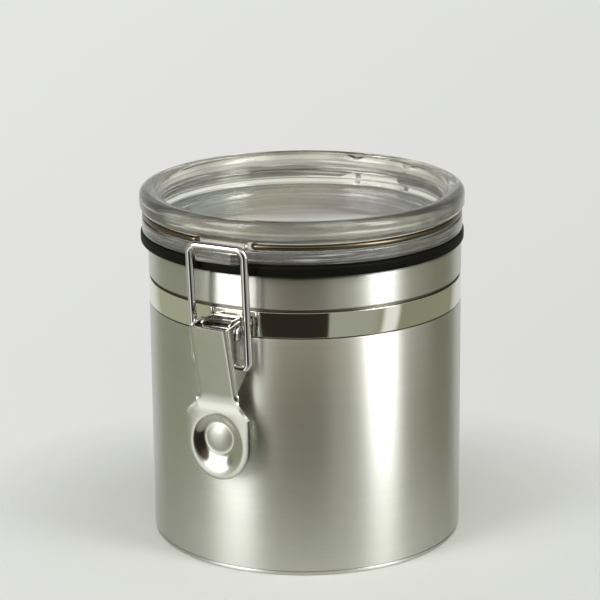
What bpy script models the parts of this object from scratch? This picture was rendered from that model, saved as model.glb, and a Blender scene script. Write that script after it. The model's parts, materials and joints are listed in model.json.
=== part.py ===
"""Clip-top storage tin: a brushed steel can with a hinged clear lid, a seal, and a lever with a wire bail.

Lengths are in metres and +Z is up. The origin is the middle of the foot that the tin stands on, on the
can's axis. The latch faces -Y and the hinge is at +Y. Every piece is drawn closed, as it is in use.
"""

import math

import bmesh
import bpy
from mathutils import Matrix, Vector

# How finely round shapes are cut
RING_SIDES = 60
ARC_STEP = math.radians(45)
WIRE_BEND_STEP = math.radians(22.5)
WIRE_RESOLUTION = 2
HOLE_SIDES = 16

# Running gap between neighbours, and round a pin in its hole
GAP = 0.0003
PIN_GAP = 0.0003

# Can: straight wall, rolled strap groove, inward mouth bead
CAN_RADIUS = 0.0614
SHEET = 0.0007
MOUTH_HEIGHT = 0.1187
MOUTH_BEAD_RADIUS = 0.0017
GROOVE_RAMP = 0.0006
GROOVE_TOP_SPACE = 0.0008

# Pressed base, standing on its ring
SEAM_HEIGHT = 0.0016
SEAM_EDGE_RADIUS = 0.0010
STANDING_RING_WIDTH = 0.0036
BASE_RECESS = 0.0020
BASE_RECESS_SLOPE = 0.0012
BASE_SKIRT_HEIGHT = 0.0044

# Polished strap, its lower edge measured down from the mouth
STRAP_DROP = 0.0239
STRAP_HEIGHT = 0.0097
STRAP_THICKNESS = 0.0007
STRAP_END_GAP = 0.0010

# Latch pivot, off the can's wall and above the strap's lower edge
PIVOT_STANDOFF = 0.0058
PIVOT_LIFT = 0.0026
RIVET_RADIUS = 0.0015
RIVET_HEAD_RADIUS = 0.0030
RIVET_HEAD_HEIGHT = 0.0010

# Bracket on the strap, its ears measured from the pivot
BRACKET_SHEET = 0.0008
BRACKET_BEND_RADIUS = 0.0014
EAR_SIDE_SPACE = 0.0010
EAR_REACH = 0.0030
EAR_DROP = 0.0033
EAR_LIFT = 0.0046
EAR_CORNER_RADIUS = 0.0022

# Lever: channel above, thumb paddle below, described on its outer face.
# Leads go outwards, and each drop starts where the one before it ends
LEVER_SHEET = 0.0009
LEVER_FOLD_RADIUS = 0.0015
LEVER_HALF_WIDTH = 0.0082
LEVER_TOP_LEAD = 0.0093
LEVER_TOP_LIFT = 0.0031
LEVER_WAIST_LEAD = 0.0020
LEVER_WAIST_DROP = 0.0118
LEVER_BEND_RADIUS = 0.0052
PADDLE_LEAD = 0.0012
PADDLE_TOP_DROP = 0.0049
PADDLE_LENGTH = 0.0271
PADDLE_HALF_WIDTH = 0.01395
DISH_SIDE_RIM = 0.00275
DISH_END_RIM = 0.00105
DISH_DEPTH = 0.0019
BOSS_LIFT = 0.00245
BOSS_RADIUS = 0.0056
BOSS_RISE = 0.0017

# The waist, where the channel's folds open into the flat paddle
NECK_FOLD_START = 0.0022
NECK_FOLD_HALF = 0.0008
NECK_FOLD_END = 0.0006

# How far the channel's sides reach back, and their round lobes at the two pins
FLANGE_TOP_DEPTH = 0.0110
FLANGE_TOP_SLANT = 0.13
FLANGE_NECK_DEPTH = 0.0085
FLANGE_MIDDLE_DEPTH = 0.0069
FLANGE_LOW_DEPTH = 0.0058
FLANGE_END_DEPTH = 0.0017
FLANGE_END_RISE = 0.0014
PIVOT_LOBE_RADIUS = 0.0035
FOOT_LOBE_RADIUS = 0.0041
FOOT_LOBE_SHIFT = 0.0009

# Bail: wire loop between the lever's sides and the lid's catch
BAIL_WIRE = 0.0030
BAIL_SIDE_SPACE = 0.00171
BAIL_SPREAD = 0.00033
BAIL_FOOT_SETBACK = 0.0015
BAIL_FOOT_DROP = 0.0139
BAIL_FOOT_INSIDE = 0.0012
BAIL_BAR_SPACE = 0.0025
BAIL_BAR_DROP = 0.0002
BAIL_CORNER_RADIUS = 0.0032
BAIL_FOOT_CORNER_RADIUS = 0.0026

# Gasket between the mouth and the lid
GASKET_OVERHANG = 0.0006
GASKET_THICKNESS = 0.0043
GASKET_EDGE_RADIUS = 0.0009
GASKET_LIP_WIDTH = 0.0013
GASKET_LIP_DEPTH = 0.0030

# Clear lid, its rings measured in from its widest edge. The latch draws it a little forwards
LID_OVERHANG = 0.0021
LID_DRAW = 0.0020
LID_FLANGE_INSET = 0.0009
LID_FLANGE_HEIGHT = 0.0048
LID_FLOOR = 0.0030
LID_RISE = 0.0163
LID_EDGE_RISE = 0.0018
LID_CREST_INSET = 0.0031
LID_CREST_CORNER = 0.0011
LID_RIM_WIDTH = 0.0074
LID_WELL_LIP_DROP = 0.0010
LID_WELL_DRAFT = 0.0004
LID_SKIRT_WIDTH = 0.0025

# Wire in the lid's groove, and the catch block that interrupts it
LID_WIRE = 0.0022
LID_WIRE_INSET = 0.0001
LID_WIRE_RISE = 0.0064
GROOVE_SIDE_SPACE = 0.0005
BLOCK_SIDE_STEP = 0.00014
BLOCK_FACE_INSET = 0.0010
BLOCK_SINK = 0.0010
BLOCK_TOP_RISE = 0.0012
CATCH_SIDE_SPACE = 0.0005
CATCH_REACH = 0.0016
CATCH_THICKNESS = 0.0038
CATCH_CORNER_RADIUS = 0.0034
CATCH_ROOT_DEPTH = 0.0040
WIRE_END_DEPTH = 0.0022
WIRE_END_SIDE_SPACE = 0.0006

# Hinge at the back
HINGE_STANDOFF = 0.0109
HINGE_DROP = 0.0100
KNUCKLE_HALF_WIDTH = 0.0095
HINGE_LOOP_SIDE_SPACE = 0.0016
HINGE_LOOP_SPREAD = 0.0018
HINGE_LOOP_DROP_OUT = 0.0016
HINGE_BEND_RADIUS = 0.0024
HINGE_PLATE_HEIGHT = 0.0142
HINGE_FIT_ABOVE = 0.0030
HINGE_FIT_LENGTH = 0.0050
KNUCKLE_WRAP = math.radians(265)

# Places that follow: can and strap
STRAP_BOTTOM = MOUTH_HEIGHT - STRAP_DROP
STRAP_TOP = STRAP_BOTTOM + STRAP_HEIGHT
STRAP_INNER_RADIUS = CAN_RADIUS - STRAP_THICKNESS
GROOVE_FLOOR_RADIUS = STRAP_INNER_RADIUS - GAP
WALL_BOTTOM = SEAM_HEIGHT + GAP
MOUTH_RADIUS = CAN_RADIUS - 2 * MOUTH_BEAD_RADIUS
MOUTH_BEAD_CENTRE = CAN_RADIUS - MOUTH_BEAD_RADIUS

# Lid, gasket and lid wire
LID_RADIUS = CAN_RADIUS + LID_OVERHANG
LID_FLANGE_RADIUS = LID_RADIUS - LID_FLANGE_INSET
LID_CREST_RADIUS = LID_RADIUS - LID_CREST_INSET
LID_WELL_RADIUS = LID_RADIUS - LID_RIM_WIDTH
LID_AXIS_Y = -LID_DRAW
GASKET_RADIUS = LID_FLANGE_RADIUS + GASKET_OVERHANG
GASKET_BOTTOM = MOUTH_HEIGHT + GAP
GASKET_LIP_RADIUS = MOUTH_RADIUS - LID_DRAW - GAP
GASKET_INNER_RADIUS = GASKET_LIP_RADIUS - GASKET_LIP_WIDTH
SKIRT_RADIUS = GASKET_INNER_RADIUS - GAP
LID_BOTTOM = GASKET_BOTTOM + GASKET_THICKNESS + GAP
LID_WIRE_HEIGHT = LID_BOTTOM + LID_WIRE_RISE
LID_WIRE_RADIUS = LID_FLANGE_RADIUS - LID_WIRE / 2 - LID_WIRE_INSET

# Latch
PIVOT_OUT = CAN_RADIUS + PIVOT_STANDOFF
PIVOT_HEIGHT = STRAP_BOTTOM + PIVOT_LIFT
EAR_FACE = LEVER_HALF_WIDTH - LEVER_SHEET - EAR_SIDE_SPACE
EAR_FRONT_OUT = PIVOT_OUT + EAR_REACH
EAR_BOTTOM = PIVOT_HEIGHT - EAR_DROP
EAR_TOP = PIVOT_HEIGHT + EAR_LIFT
BAIL_FOOT_OUT = PIVOT_OUT - BAIL_FOOT_SETBACK
BAIL_FOOT_HEIGHT = PIVOT_HEIGHT - BAIL_FOOT_DROP
LEVER_TOP_OUT = PIVOT_OUT + LEVER_TOP_LEAD
LEVER_TOP_HEIGHT = PIVOT_HEIGHT + LEVER_TOP_LIFT
LEVER_WAIST_OUT = PIVOT_OUT + LEVER_WAIST_LEAD
LEVER_WAIST_HEIGHT = BAIL_FOOT_HEIGHT - LEVER_WAIST_DROP
PADDLE_OUT = LEVER_WAIST_OUT + PADDLE_LEAD
PADDLE_TOP_HEIGHT = LEVER_WAIST_HEIGHT - PADDLE_TOP_DROP
PADDLE_BOTTOM_HEIGHT = PADDLE_TOP_HEIGHT - PADDLE_LENGTH
DISH_HALF_WIDTH = PADDLE_HALF_WIDTH - DISH_SIDE_RIM
DISH_HALF_HEIGHT = PADDLE_HALF_WIDTH - DISH_END_RIM
BOSS_CENTRE_HEIGHT = PADDLE_BOTTOM_HEIGHT + PADDLE_HALF_WIDTH + BOSS_LIFT

# Bail and the lid's catch under its bar
BAIL_FOOT_HALF_WIDTH = LEVER_HALF_WIDTH + BAIL_SIDE_SPACE + BAIL_WIRE / 2
BAIL_BAR_HALF_WIDTH = BAIL_FOOT_HALF_WIDTH + BAIL_SPREAD
BAIL_BAR_HEIGHT = LID_WIRE_HEIGHT - BAIL_BAR_DROP
BAIL_SEAT_HEIGHT = BAIL_BAR_HEIGHT - BAIL_WIRE / 2 - GAP
CATCH_HALF_WIDTH = BAIL_BAR_HALF_WIDTH - BAIL_WIRE / 2 - CATCH_SIDE_SPACE
BLOCK_HALF_WIDTH = CATCH_HALF_WIDTH - BLOCK_SIDE_STEP
BLOCK_FACE_OUT = LID_RADIUS + LID_DRAW - BLOCK_FACE_INSET
BAIL_BAR_OUT = BLOCK_FACE_OUT + BAIL_BAR_SPACE + BAIL_WIRE / 2

# Hinge
HINGE_OUT = CAN_RADIUS + HINGE_STANDOFF
HINGE_HEIGHT = LID_WIRE_HEIGHT - HINGE_DROP
HINGE_LOOP_HALF_WIDTH = KNUCKLE_HALF_WIDTH + LID_WIRE / 2 + HINGE_LOOP_SIDE_SPACE
HINGE_LOOP_ROOT = HINGE_LOOP_HALF_WIDTH + HINGE_LOOP_SPREAD


def clear_scene():
    """Removes whatever the scene holds."""
    for old in list(bpy.data.objects):
        bpy.data.objects.remove(old, do_unlink=True)


def material(name, colour, roughness, metallic, transmission=0.0):
    """Makes a plain surface of one colour."""
    made = bpy.data.materials.new(name)
    made.use_nodes = True
    surface = made.node_tree.nodes["Principled BSDF"]
    surface.inputs["Base Color"].default_value = (*colour, 1.0)
    surface.inputs["Roughness"].default_value = roughness
    surface.inputs["Metallic"].default_value = metallic
    surface.inputs["Transmission Weight"].default_value = transmission
    return made


def place(name, data, surface, origin):
    """Links the data as an object whose own origin is the given point of the tin."""
    data.transform(Matrix.Translation(-Vector(origin)))
    if surface:
        data.materials.append(surface)
    made = bpy.data.objects.new(name, data)
    made.location = origin
    bpy.context.scene.collection.objects.link(made)
    return made


def finished_mesh(name, shape, smooth_below=math.radians(40)):
    """Turns the bmesh into a mesh, faces outward, round stretches smooth."""
    bmesh.ops.recalc_face_normals(shape, faces=shape.faces)
    mesh = bpy.data.meshes.new(name)
    shape.to_mesh(mesh)
    shape.free()
    mesh.shade_smooth()
    mesh.set_sharp_from_angle(angle=smooth_below)
    return mesh


def corner_arc(before, corner, after, radius, step):
    """Points of an arc of the radius that touches both arms of a corner."""
    to_before = (before - corner).normalized()
    to_after = (after - corner).normalized()
    opening = to_before.angle(to_after)
    reach = radius / math.tan(opening / 2)
    centre = corner + (to_before + to_after).normalized() * (radius / math.sin(opening / 2))
    spoke = (corner + to_before * reach - centre) / radius
    turn = math.pi - opening
    count = max(1, math.ceil(turn / step - 0.01))
    angles = [turn * i / count for i in range(count + 1)]
    return [centre + radius * (spoke * math.cos(a) - to_before * math.sin(a)) for a in angles]


def rounded_outline(corners, step=ARC_STEP):
    """Closed outline with an arc at each corner that has a third number, its radius."""
    places = [Vector(c[:2]) for c in corners]
    outline = []
    for i, corner in enumerate(corners):
        if len(corner) == 2:
            outline.append(places[i])
            continue
        following = places[(i + 1) % len(places)]
        outline += corner_arc(places[i - 1], places[i], following, corner[2], step)
    return outline


def rounded_path(corners, step=WIRE_BEND_STEP):
    """Open path in the plane or in space: pairs of a point and its bend radius, 0 for none."""
    path = []
    for i, (corner, radius) in enumerate(corners):
        if radius == 0:
            path.append(Vector(corner))
            continue
        before = Vector(corners[i - 1][0])
        following = Vector(corners[i + 1][0])
        path += corner_arc(before, Vector(corner), following, radius, step)
    return path


def ribbon(path, thickness):
    """Closed outline of a strip of sheet that has the given path as its middle."""
    sides = []
    for i, point in enumerate(path):
        ahead = path[min(i + 1, len(path) - 1)]
        behind = path[max(i - 1, 0)]
        along = (ahead - behind).normalized()
        sides.append((point, Vector((-along.y, along.x)) * thickness / 2))
    left = [point + side for point, side in sides]
    right = [point - side for point, side in sides]
    return left + right[::-1]


def turned(name, outline, surface, axis_y=0.0, origin=(0, 0, 0), start=0.0, sweep=math.tau):
    """Turns an outline of (radius, height) round an upright axis."""
    shape = bmesh.new()
    corners = [shape.verts.new((p.x * math.cos(start), p.x * math.sin(start), p.y)) for p in outline]
    whole = sweep > math.tau - 1e-6
    edges = [shape.edges.new((corners[i - 1], corners[i])) for i in range(len(corners))]
    profile = edges if whole else [*edges, shape.faces.new(corners)]
    bmesh.ops.spin(
        shape,
        geom=corners + profile,
        cent=(0, 0, 0),
        axis=(0, 0, 1),
        angle=sweep,
        steps=RING_SIDES,
        use_merge=whole,
    )
    bmesh.ops.remove_doubles(shape, verts=shape.verts, dist=1e-6)
    bmesh.ops.translate(shape, verts=shape.verts, vec=(0, axis_y, 0))
    return place(name, finished_mesh(name, shape), surface, origin)


def prism(name, outline, along, low, high, surface=None, origin=(0, 0, 0)):
    """Extrudes a plane outline along X, Y or Z. The outline holds the other two numbers, in order."""
    rest = [i for i in range(3) if i != "XYZ".index(along)]
    shape = bmesh.new()
    corners = []
    for point in outline:
        spot = Vector((low, low, low))
        spot[rest[0]] = point[0]
        spot[rest[1]] = point[1]
        corners.append(shape.verts.new(spot))
    base = shape.faces.new(corners)
    grown = bmesh.ops.extrude_face_region(shape, geom=[base])
    top = [item for item in grown["geom"] if isinstance(item, bmesh.types.BMVert)]
    step = Vector((0, 0, 0))
    step["XYZ".index(along)] = high - low
    bmesh.ops.translate(shape, verts=top, vec=step)
    return place(name, finished_mesh(name, shape), surface, origin)


def rod(name, centre, along, radius, length):
    """A round bar, used to cut a hole."""
    turns = {"X": Matrix.Rotation(math.pi / 2, 4, "Y"), "Y": Matrix.Rotation(math.pi / 2, 4, "X")}
    shape = bmesh.new()
    bmesh.ops.create_cone(
        shape,
        cap_ends=True,
        segments=HOLE_SIDES,
        radius1=radius,
        radius2=radius,
        depth=length,
        matrix=turns.get(along, Matrix.Identity(4)),
    )
    bmesh.ops.translate(shape, verts=shape.verts, vec=centre)
    return place(name, finished_mesh(name, shape), None, (0, 0, 0))


def wire(name, path, diameter, surface, origin):
    """A round wire along the path, with flat ends."""
    data = bpy.data.curves.new(name, "CURVE")
    data.dimensions = "3D"
    data.bevel_depth = diameter / 2
    data.bevel_resolution = WIRE_RESOLUTION
    data.use_fill_caps = True
    run = data.splines.new("POLY")
    run.points.add(len(path) - 1)
    for point, spot in zip(run.points, path):
        point.co = (*spot, 1.0)
    run.use_smooth = True
    return place(name, data, surface, origin)


def shape_with(piece, tool, operation):
    """Joins, cuts or trims the piece with the tool, which then stays as a hidden guide."""
    tool.hide_render = True
    tool.display_type = "WIRE"
    step = piece.modifiers.new(tool.name, "BOOLEAN")
    step.operation = operation
    step.solver = "EXACT"
    step.object = tool


def carry(name, centre, pieces):
    """Hangs the pieces on an empty that stands on their joint's axis."""
    axis = bpy.data.objects.new(name, None)
    axis.empty_display_size = 0.01
    axis.location = centre
    bpy.context.scene.collection.objects.link(axis)
    for piece in pieces:
        piece.parent = axis
        piece.location = piece.location - axis.location


def can_wall(surface):
    """The straight wall with the strap's rolled groove and the mouth rolled inwards."""
    groove_low = STRAP_BOTTOM - GAP
    groove_high = STRAP_TOP + GAP + GROOVE_TOP_SPACE / 2
    inner = CAN_RADIUS - SHEET
    groove_inner = GROOVE_FLOOR_RADIUS - SHEET
    bead = Vector((MOUTH_BEAD_CENTRE, MOUTH_HEIGHT - MOUTH_BEAD_RADIUS))
    outer_curl = [math.radians(a) for a in range(0, 271, 45)]
    inner_curl = [math.radians(a) for a in range(270, -1, -90)]
    outline = [
        Vector((CAN_RADIUS, WALL_BOTTOM)),
        Vector((CAN_RADIUS, groove_low - GROOVE_RAMP)),
        Vector((GROOVE_FLOOR_RADIUS, groove_low)),
        Vector((GROOVE_FLOOR_RADIUS, groove_high)),
        Vector((CAN_RADIUS, groove_high + GROOVE_TOP_SPACE)),
    ]
    for radius, angles in ((MOUTH_BEAD_RADIUS, outer_curl), (MOUTH_BEAD_RADIUS - SHEET, inner_curl)):
        outline += [bead + radius * Vector((math.cos(a), math.sin(a))) for a in angles]
    outline += [
        Vector((inner, groove_high + GROOVE_TOP_SPACE + SHEET / 2)),
        Vector((groove_inner, groove_high + SHEET / 2)),
        Vector((groove_inner, groove_low - SHEET / 2)),
        Vector((inner, groove_low - GROOVE_RAMP - SHEET / 2)),
        Vector((inner, WALL_BOTTOM)),
    ]
    return turned("can_wall", outline, surface)


def can_base(surface):
    """The pressed bottom: seam edge under the wall, skirt inside it, raised middle."""
    edge = CAN_RADIUS - GAP / 3
    skirt = CAN_RADIUS - SHEET - GAP
    ring_inner = edge - STANDING_RING_WIDTH
    corners = [
        (0.0, BASE_RECESS),
        (ring_inner - BASE_RECESS_SLOPE, BASE_RECESS),
        (ring_inner, 0.0),
        (edge, 0.0, SEAM_EDGE_RADIUS),
        (edge, SEAM_HEIGHT),
        (skirt, SEAM_HEIGHT),
        (skirt, BASE_SKIRT_HEIGHT),
        (skirt - SHEET, BASE_SKIRT_HEIGHT),
        (skirt - SHEET, SHEET),
        (ring_inner + SHEET / 2, SHEET),
        (ring_inner + SHEET / 2 - BASE_RECESS_SLOPE, BASE_RECESS + SHEET),
        (0.0, BASE_RECESS + SHEET),
    ]
    return turned("can_base", rounded_outline(corners), surface)


def strap(surface):
    """The polished band, its two ends meeting behind the hinge bracket."""
    corners = [
        (STRAP_INNER_RADIUS, STRAP_BOTTOM),
        (CAN_RADIUS, STRAP_BOTTOM),
        (CAN_RADIUS, STRAP_TOP),
        (STRAP_INNER_RADIUS, STRAP_TOP),
    ]
    half_gap = STRAP_END_GAP / 2 / CAN_RADIUS
    return turned(
        "strap",
        rounded_outline(corners),
        surface,
        start=math.pi / 2 + half_gap,
        sweep=math.tau - 2 * half_gap,
    )


def latch_bracket(surface):
    """A sheet channel on the strap whose two ears stand out and hold the pivot rivet."""
    back = -(CAN_RADIUS + GAP)
    web = back - BRACKET_SHEET
    bend = BRACKET_BEND_RADIUS
    inner_bend = BRACKET_BEND_RADIUS - BRACKET_SHEET
    section = rounded_outline(
        [
            (-EAR_FACE, -EAR_FRONT_OUT),
            (-EAR_FACE, back, bend),
            (EAR_FACE, back, bend),
            (EAR_FACE, -EAR_FRONT_OUT),
            (EAR_FACE - BRACKET_SHEET, -EAR_FRONT_OUT),
            (EAR_FACE - BRACKET_SHEET, web, inner_bend),
            (BRACKET_SHEET - EAR_FACE, web, inner_bend),
            (BRACKET_SHEET - EAR_FACE, -EAR_FRONT_OUT),
        ]
    )
    piece = prism("latch_bracket", section, "Z", EAR_BOTTOM, EAR_TOP, surface)
    side_view = rounded_outline(
        [
            (-EAR_FRONT_OUT, EAR_BOTTOM, EAR_CORNER_RADIUS),
            (back + GAP, EAR_BOTTOM),
            (back + GAP, EAR_TOP),
            (-EAR_FRONT_OUT, EAR_TOP, EAR_CORNER_RADIUS / 2),
        ],
        step=math.radians(22.5),
    )
    side = prism("ear_outline", side_view, "X", -2 * EAR_FACE, 2 * EAR_FACE)
    shape_with(piece, side, "INTERSECT")
    centre = (0, -PIVOT_OUT, PIVOT_HEIGHT)
    hole = rod("ear_hole", centre, "X", RIVET_RADIUS + PIN_GAP, 4 * EAR_FACE)
    shape_with(piece, hole, "DIFFERENCE")
    return piece


def pivot_rivet(surface):
    """The rivet that joins the ears and the lever, with a domed head at each end."""
    reach = LEVER_HALF_WIDTH + GAP
    head = reach + RIVET_HEAD_HEIGHT
    half = [
        (0.0, head),
        (RIVET_HEAD_RADIUS * 0.55, head - RIVET_HEAD_HEIGHT * 0.15),
        (RIVET_HEAD_RADIUS * 0.88, head - RIVET_HEAD_HEIGHT * 0.5),
        (RIVET_HEAD_RADIUS, reach),
        (RIVET_RADIUS, reach),
    ]
    outline = half + [(radius, -height) for radius, height in half[::-1]]
    shape = bmesh.new()
    corners = [shape.verts.new((height, radius, 0)) for radius, height in outline]
    edges = [shape.edges.new(pair) for pair in zip(corners, corners[1:])]
    bmesh.ops.spin(
        shape,
        geom=corners + edges,
        cent=(0, 0, 0),
        axis=(1, 0, 0),
        angle=math.tau,
        steps=HOLE_SIDES,
        use_merge=True,
    )
    bmesh.ops.remove_doubles(shape, verts=shape.verts, dist=1e-6)
    bmesh.ops.translate(shape, verts=shape.verts, vec=(0, -PIVOT_OUT, PIVOT_HEIGHT))
    return place("pivot_rivet", finished_mesh("pivot_rivet", shape), surface, (0, 0, 0))


def lever_side_path():
    """The lever's outer face seen from the side, as points of (distance out, height)."""
    return rounded_path(
        [
            ((LEVER_TOP_OUT, LEVER_TOP_HEIGHT), 0),
            ((LEVER_WAIST_OUT, LEVER_WAIST_HEIGHT), LEVER_BEND_RADIUS),
            ((PADDLE_OUT, PADDLE_TOP_HEIGHT), LEVER_BEND_RADIUS),
            ((PADDLE_OUT, PADDLE_BOTTOM_HEIGHT), 0),
        ],
        step=math.radians(10),
    )


LEVER_PATH = lever_side_path()
LEVER_SLOPE = (Vector((LEVER_WAIST_OUT, LEVER_WAIST_HEIGHT)) - LEVER_PATH[0]).normalized()
LEVER_LENGTH = sum((b - a).length for a, b in zip(LEVER_PATH, LEVER_PATH[1:]))
WAIST_ALONG = (Vector((LEVER_WAIST_OUT, LEVER_WAIST_HEIGHT)) - LEVER_PATH[0]).length


def on_lever(out, height):
    """Where a point stands on the lever's channel: how far down its face, and how far in from it."""
    offset = Vector((out, height)) - LEVER_PATH[0]
    return Vector((offset.dot(LEVER_SLOPE), offset.dot(Vector((LEVER_SLOPE.y, -LEVER_SLOPE.x)))))


PIVOT_SPOT = on_lever(PIVOT_OUT, PIVOT_HEIGHT)
FOOT_SPOT = on_lever(BAIL_FOOT_OUT, BAIL_FOOT_HEIGHT)
LOBES = (
    (PIVOT_SPOT, PIVOT_LOBE_RADIUS),
    (FOOT_SPOT + Vector((FOOT_LOBE_SHIFT, 0)), FOOT_LOBE_RADIUS),
)


def lever_point(across, along, depth):
    """The tin's point at a place on the lever: across it, down its face, and inwards from it."""
    left = min(along, LEVER_LENGTH)
    for start, end in zip(LEVER_PATH, LEVER_PATH[1:]):
        run = (end - start).length
        if left <= run + 1e-9:
            break
        left -= run
    slope = (end - start).normalized()
    spot = start + slope * left + Vector((slope.y, -slope.x)) * depth
    return Vector((across, -spot.x, spot.y))


def flange_depth(along):
    """How far the channel's sides reach back: a taper, with a round lobe behind each pin."""
    stations = [
        (0.0, FLANGE_TOP_DEPTH),
        (PIVOT_SPOT.x + PIVOT_LOBE_RADIUS, FLANGE_NECK_DEPTH),
        (LOBES[1][0].x - FOOT_LOBE_RADIUS, FLANGE_MIDDLE_DEPTH),
        (LOBES[1][0].x + FOOT_LOBE_RADIUS, FLANGE_LOW_DEPTH),
        (WAIST_ALONG - FLANGE_END_RISE, FLANGE_END_DEPTH),
        (LEVER_LENGTH, FLANGE_END_DEPTH),
    ]
    deepest = FLANGE_END_DEPTH
    for (low, start), (high, end) in zip(stations, stations[1:]):
        if low <= along <= high:
            deepest = start + (end - start) * (along - low) / (high - low)
    for centre, radius in LOBES:
        if abs(along - centre.x) < radius:
            deepest = max(deepest, centre.y + math.sqrt(radius**2 - (along - centre.x) ** 2))
    return deepest


def channel_row(along, fold):
    """One row of the lever's channel, as (across, along, depth), its sides folded back by an angle."""
    flat = LEVER_HALF_WIDTH - LEVER_FOLD_RADIUS
    side = flange_depth(along) - LEVER_FOLD_RADIUS
    arc = LEVER_FOLD_RADIUS * math.pi / 2
    slant = FLANGE_TOP_SLANT * max(0.0, 1 - along / PIVOT_SPOT.x)
    half = [(0.0, 0.0), (flat / 2, 0.0), (flat, 0.0)]
    x, depth = half[-1]
    steps = 3
    for i in range(steps):
        heading = fold * (i + 0.5) / steps
        x += arc / steps * math.cos(heading)
        depth += arc / steps * math.sin(heading)
        half.append((x, depth))
    for share in (0.5, 1.0):
        half.append((x + share * side * math.cos(fold), depth + share * side * math.sin(fold)))
    right = [(across, along + slant * back, back) for across, back in half]
    left = [(-across, run, back) for across, run, back in right[:0:-1]]
    return left + right


def dish_reach(way):
    """From the boss's centre to the dish's oval rim, in the direction of (across, along)."""
    lower = BOSS_CENTRE_HEIGHT - PADDLE_BOTTOM_HEIGHT - PADDLE_HALF_WIDTH
    squared = (way.x / DISH_HALF_WIDTH) ** 2 + (way.y / DISH_HALF_HEIGHT) ** 2
    shift = way.y * lower / DISH_HALF_HEIGHT**2
    rest = 1 - (lower / DISH_HALF_HEIGHT) ** 2
    return (shift + math.sqrt(shift**2 + squared * rest)) / squared


def dish_depth(radius, reach):
    """Depth of the dish at a distance from the boss's centre. The boss is a dome on its floor."""
    if radius < BOSS_RADIUS:
        return DISH_DEPTH - BOSS_RISE * (1 - (radius / BOSS_RADIUS) ** 2)
    return DISH_DEPTH * math.sin(math.pi / 2 * (reach - radius) / (reach - BOSS_RADIUS)) ** 2


def paddle_outline(neck_row):
    """The paddle's edge as (across, along), starting with the neck's last row, left to right."""
    bottom_centre = LEVER_LENGTH - PADDLE_HALF_WIDTH
    corner = neck_row[-1][0]
    waist = neck_row[-1][1]
    shoulder = waist + PADDLE_HALF_WIDTH - corner
    right = [
        ((corner + PADDLE_HALF_WIDTH) / 2, (waist + shoulder) / 2),
        (PADDLE_HALF_WIDTH, shoulder),
        (PADDLE_HALF_WIDTH, (shoulder + bottom_centre) / 2),
    ]
    count = 12
    angles = [math.pi * i / count for i in range(count + 1)]
    under = [
        (PADDLE_HALF_WIDTH * math.cos(a), bottom_centre + PADDLE_HALF_WIDTH * math.sin(a)) for a in angles
    ]
    left = [(-across, along) for across, along in right[::-1]]
    return [(across, along) for across, along, _ in neck_row] + right + under + left


def lever_sheet():
    """The lever's outer face as one surface: channel rows, then rings round the dish."""
    shape = bmesh.new()
    neck = WAIST_ALONG - NECK_FOLD_START
    places = [0.0, (FOOT_SPOT.x + PIVOT_SPOT.x) / 2, neck - LEVER_FOLD_RADIUS]
    for centre, radius in LOBES:
        places += [centre.x - radius * math.cos(math.pi * i / 8) for i in range(9)]
    rows = [channel_row(along, math.pi / 2) for along in sorted(places)]
    rows.append(channel_row(neck, math.pi / 2))
    rows.append(channel_row(WAIST_ALONG - NECK_FOLD_HALF, math.pi / 4))
    rows.append(channel_row(WAIST_ALONG + NECK_FOLD_END, 0.0))
    grid = [[shape.verts.new(lever_point(*spot)) for spot in row] for row in rows]
    for upper, lower in zip(grid, grid[1:]):
        for i in range(len(upper) - 1):
            shape.faces.new((upper[i], upper[i + 1], lower[i + 1], lower[i]))
    centre_along = LEVER_LENGTH - (BOSS_CENTRE_HEIGHT - PADDLE_BOTTOM_HEIGHT)
    edge = paddle_outline(rows[-1])
    ring = grid[-1] + [shape.verts.new(lever_point(*spot, 0.0)) for spot in edge[len(rows[-1]) :]]
    rings = [ring]
    offsets = [Vector((across, along - centre_along)) for across, along in edge]
    reaches = [dish_reach(offset.normalized()) for offset in offsets]

    def add_ring(radii):
        ring = []
        for offset, reach, radius in zip(offsets, reaches, radii):
            spot = offset.normalized() * radius
            depth = dish_depth(radius, reach) if radius < reach else 0.0
            ring.append(shape.verts.new(lever_point(spot.x, centre_along + spot.y, depth)))
        rings.append(ring)

    add_ring([(offset.length + reach) / 2 for offset, reach in zip(offsets, reaches)])
    for share in (1.0, 0.8, 0.6, 0.4, 0.2, 0.07, 0.0):
        add_ring([BOSS_RADIUS + share * (reach - BOSS_RADIUS) for reach in reaches])
    for share in (0.75, 0.4):
        add_ring([share * BOSS_RADIUS] * len(edge))
    for outer, inner in zip(rings, rings[1:]):
        for i in range(len(outer)):
            shape.faces.new((outer[i - 1], outer[i], inner[i], inner[i - 1]))
    middle = shape.verts.new(lever_point(0.0, centre_along, DISH_DEPTH - BOSS_RISE))
    for i in range(len(rings[-1])):
        shape.faces.new((rings[-1][i - 1], rings[-1][i], middle))
    return shape


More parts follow.
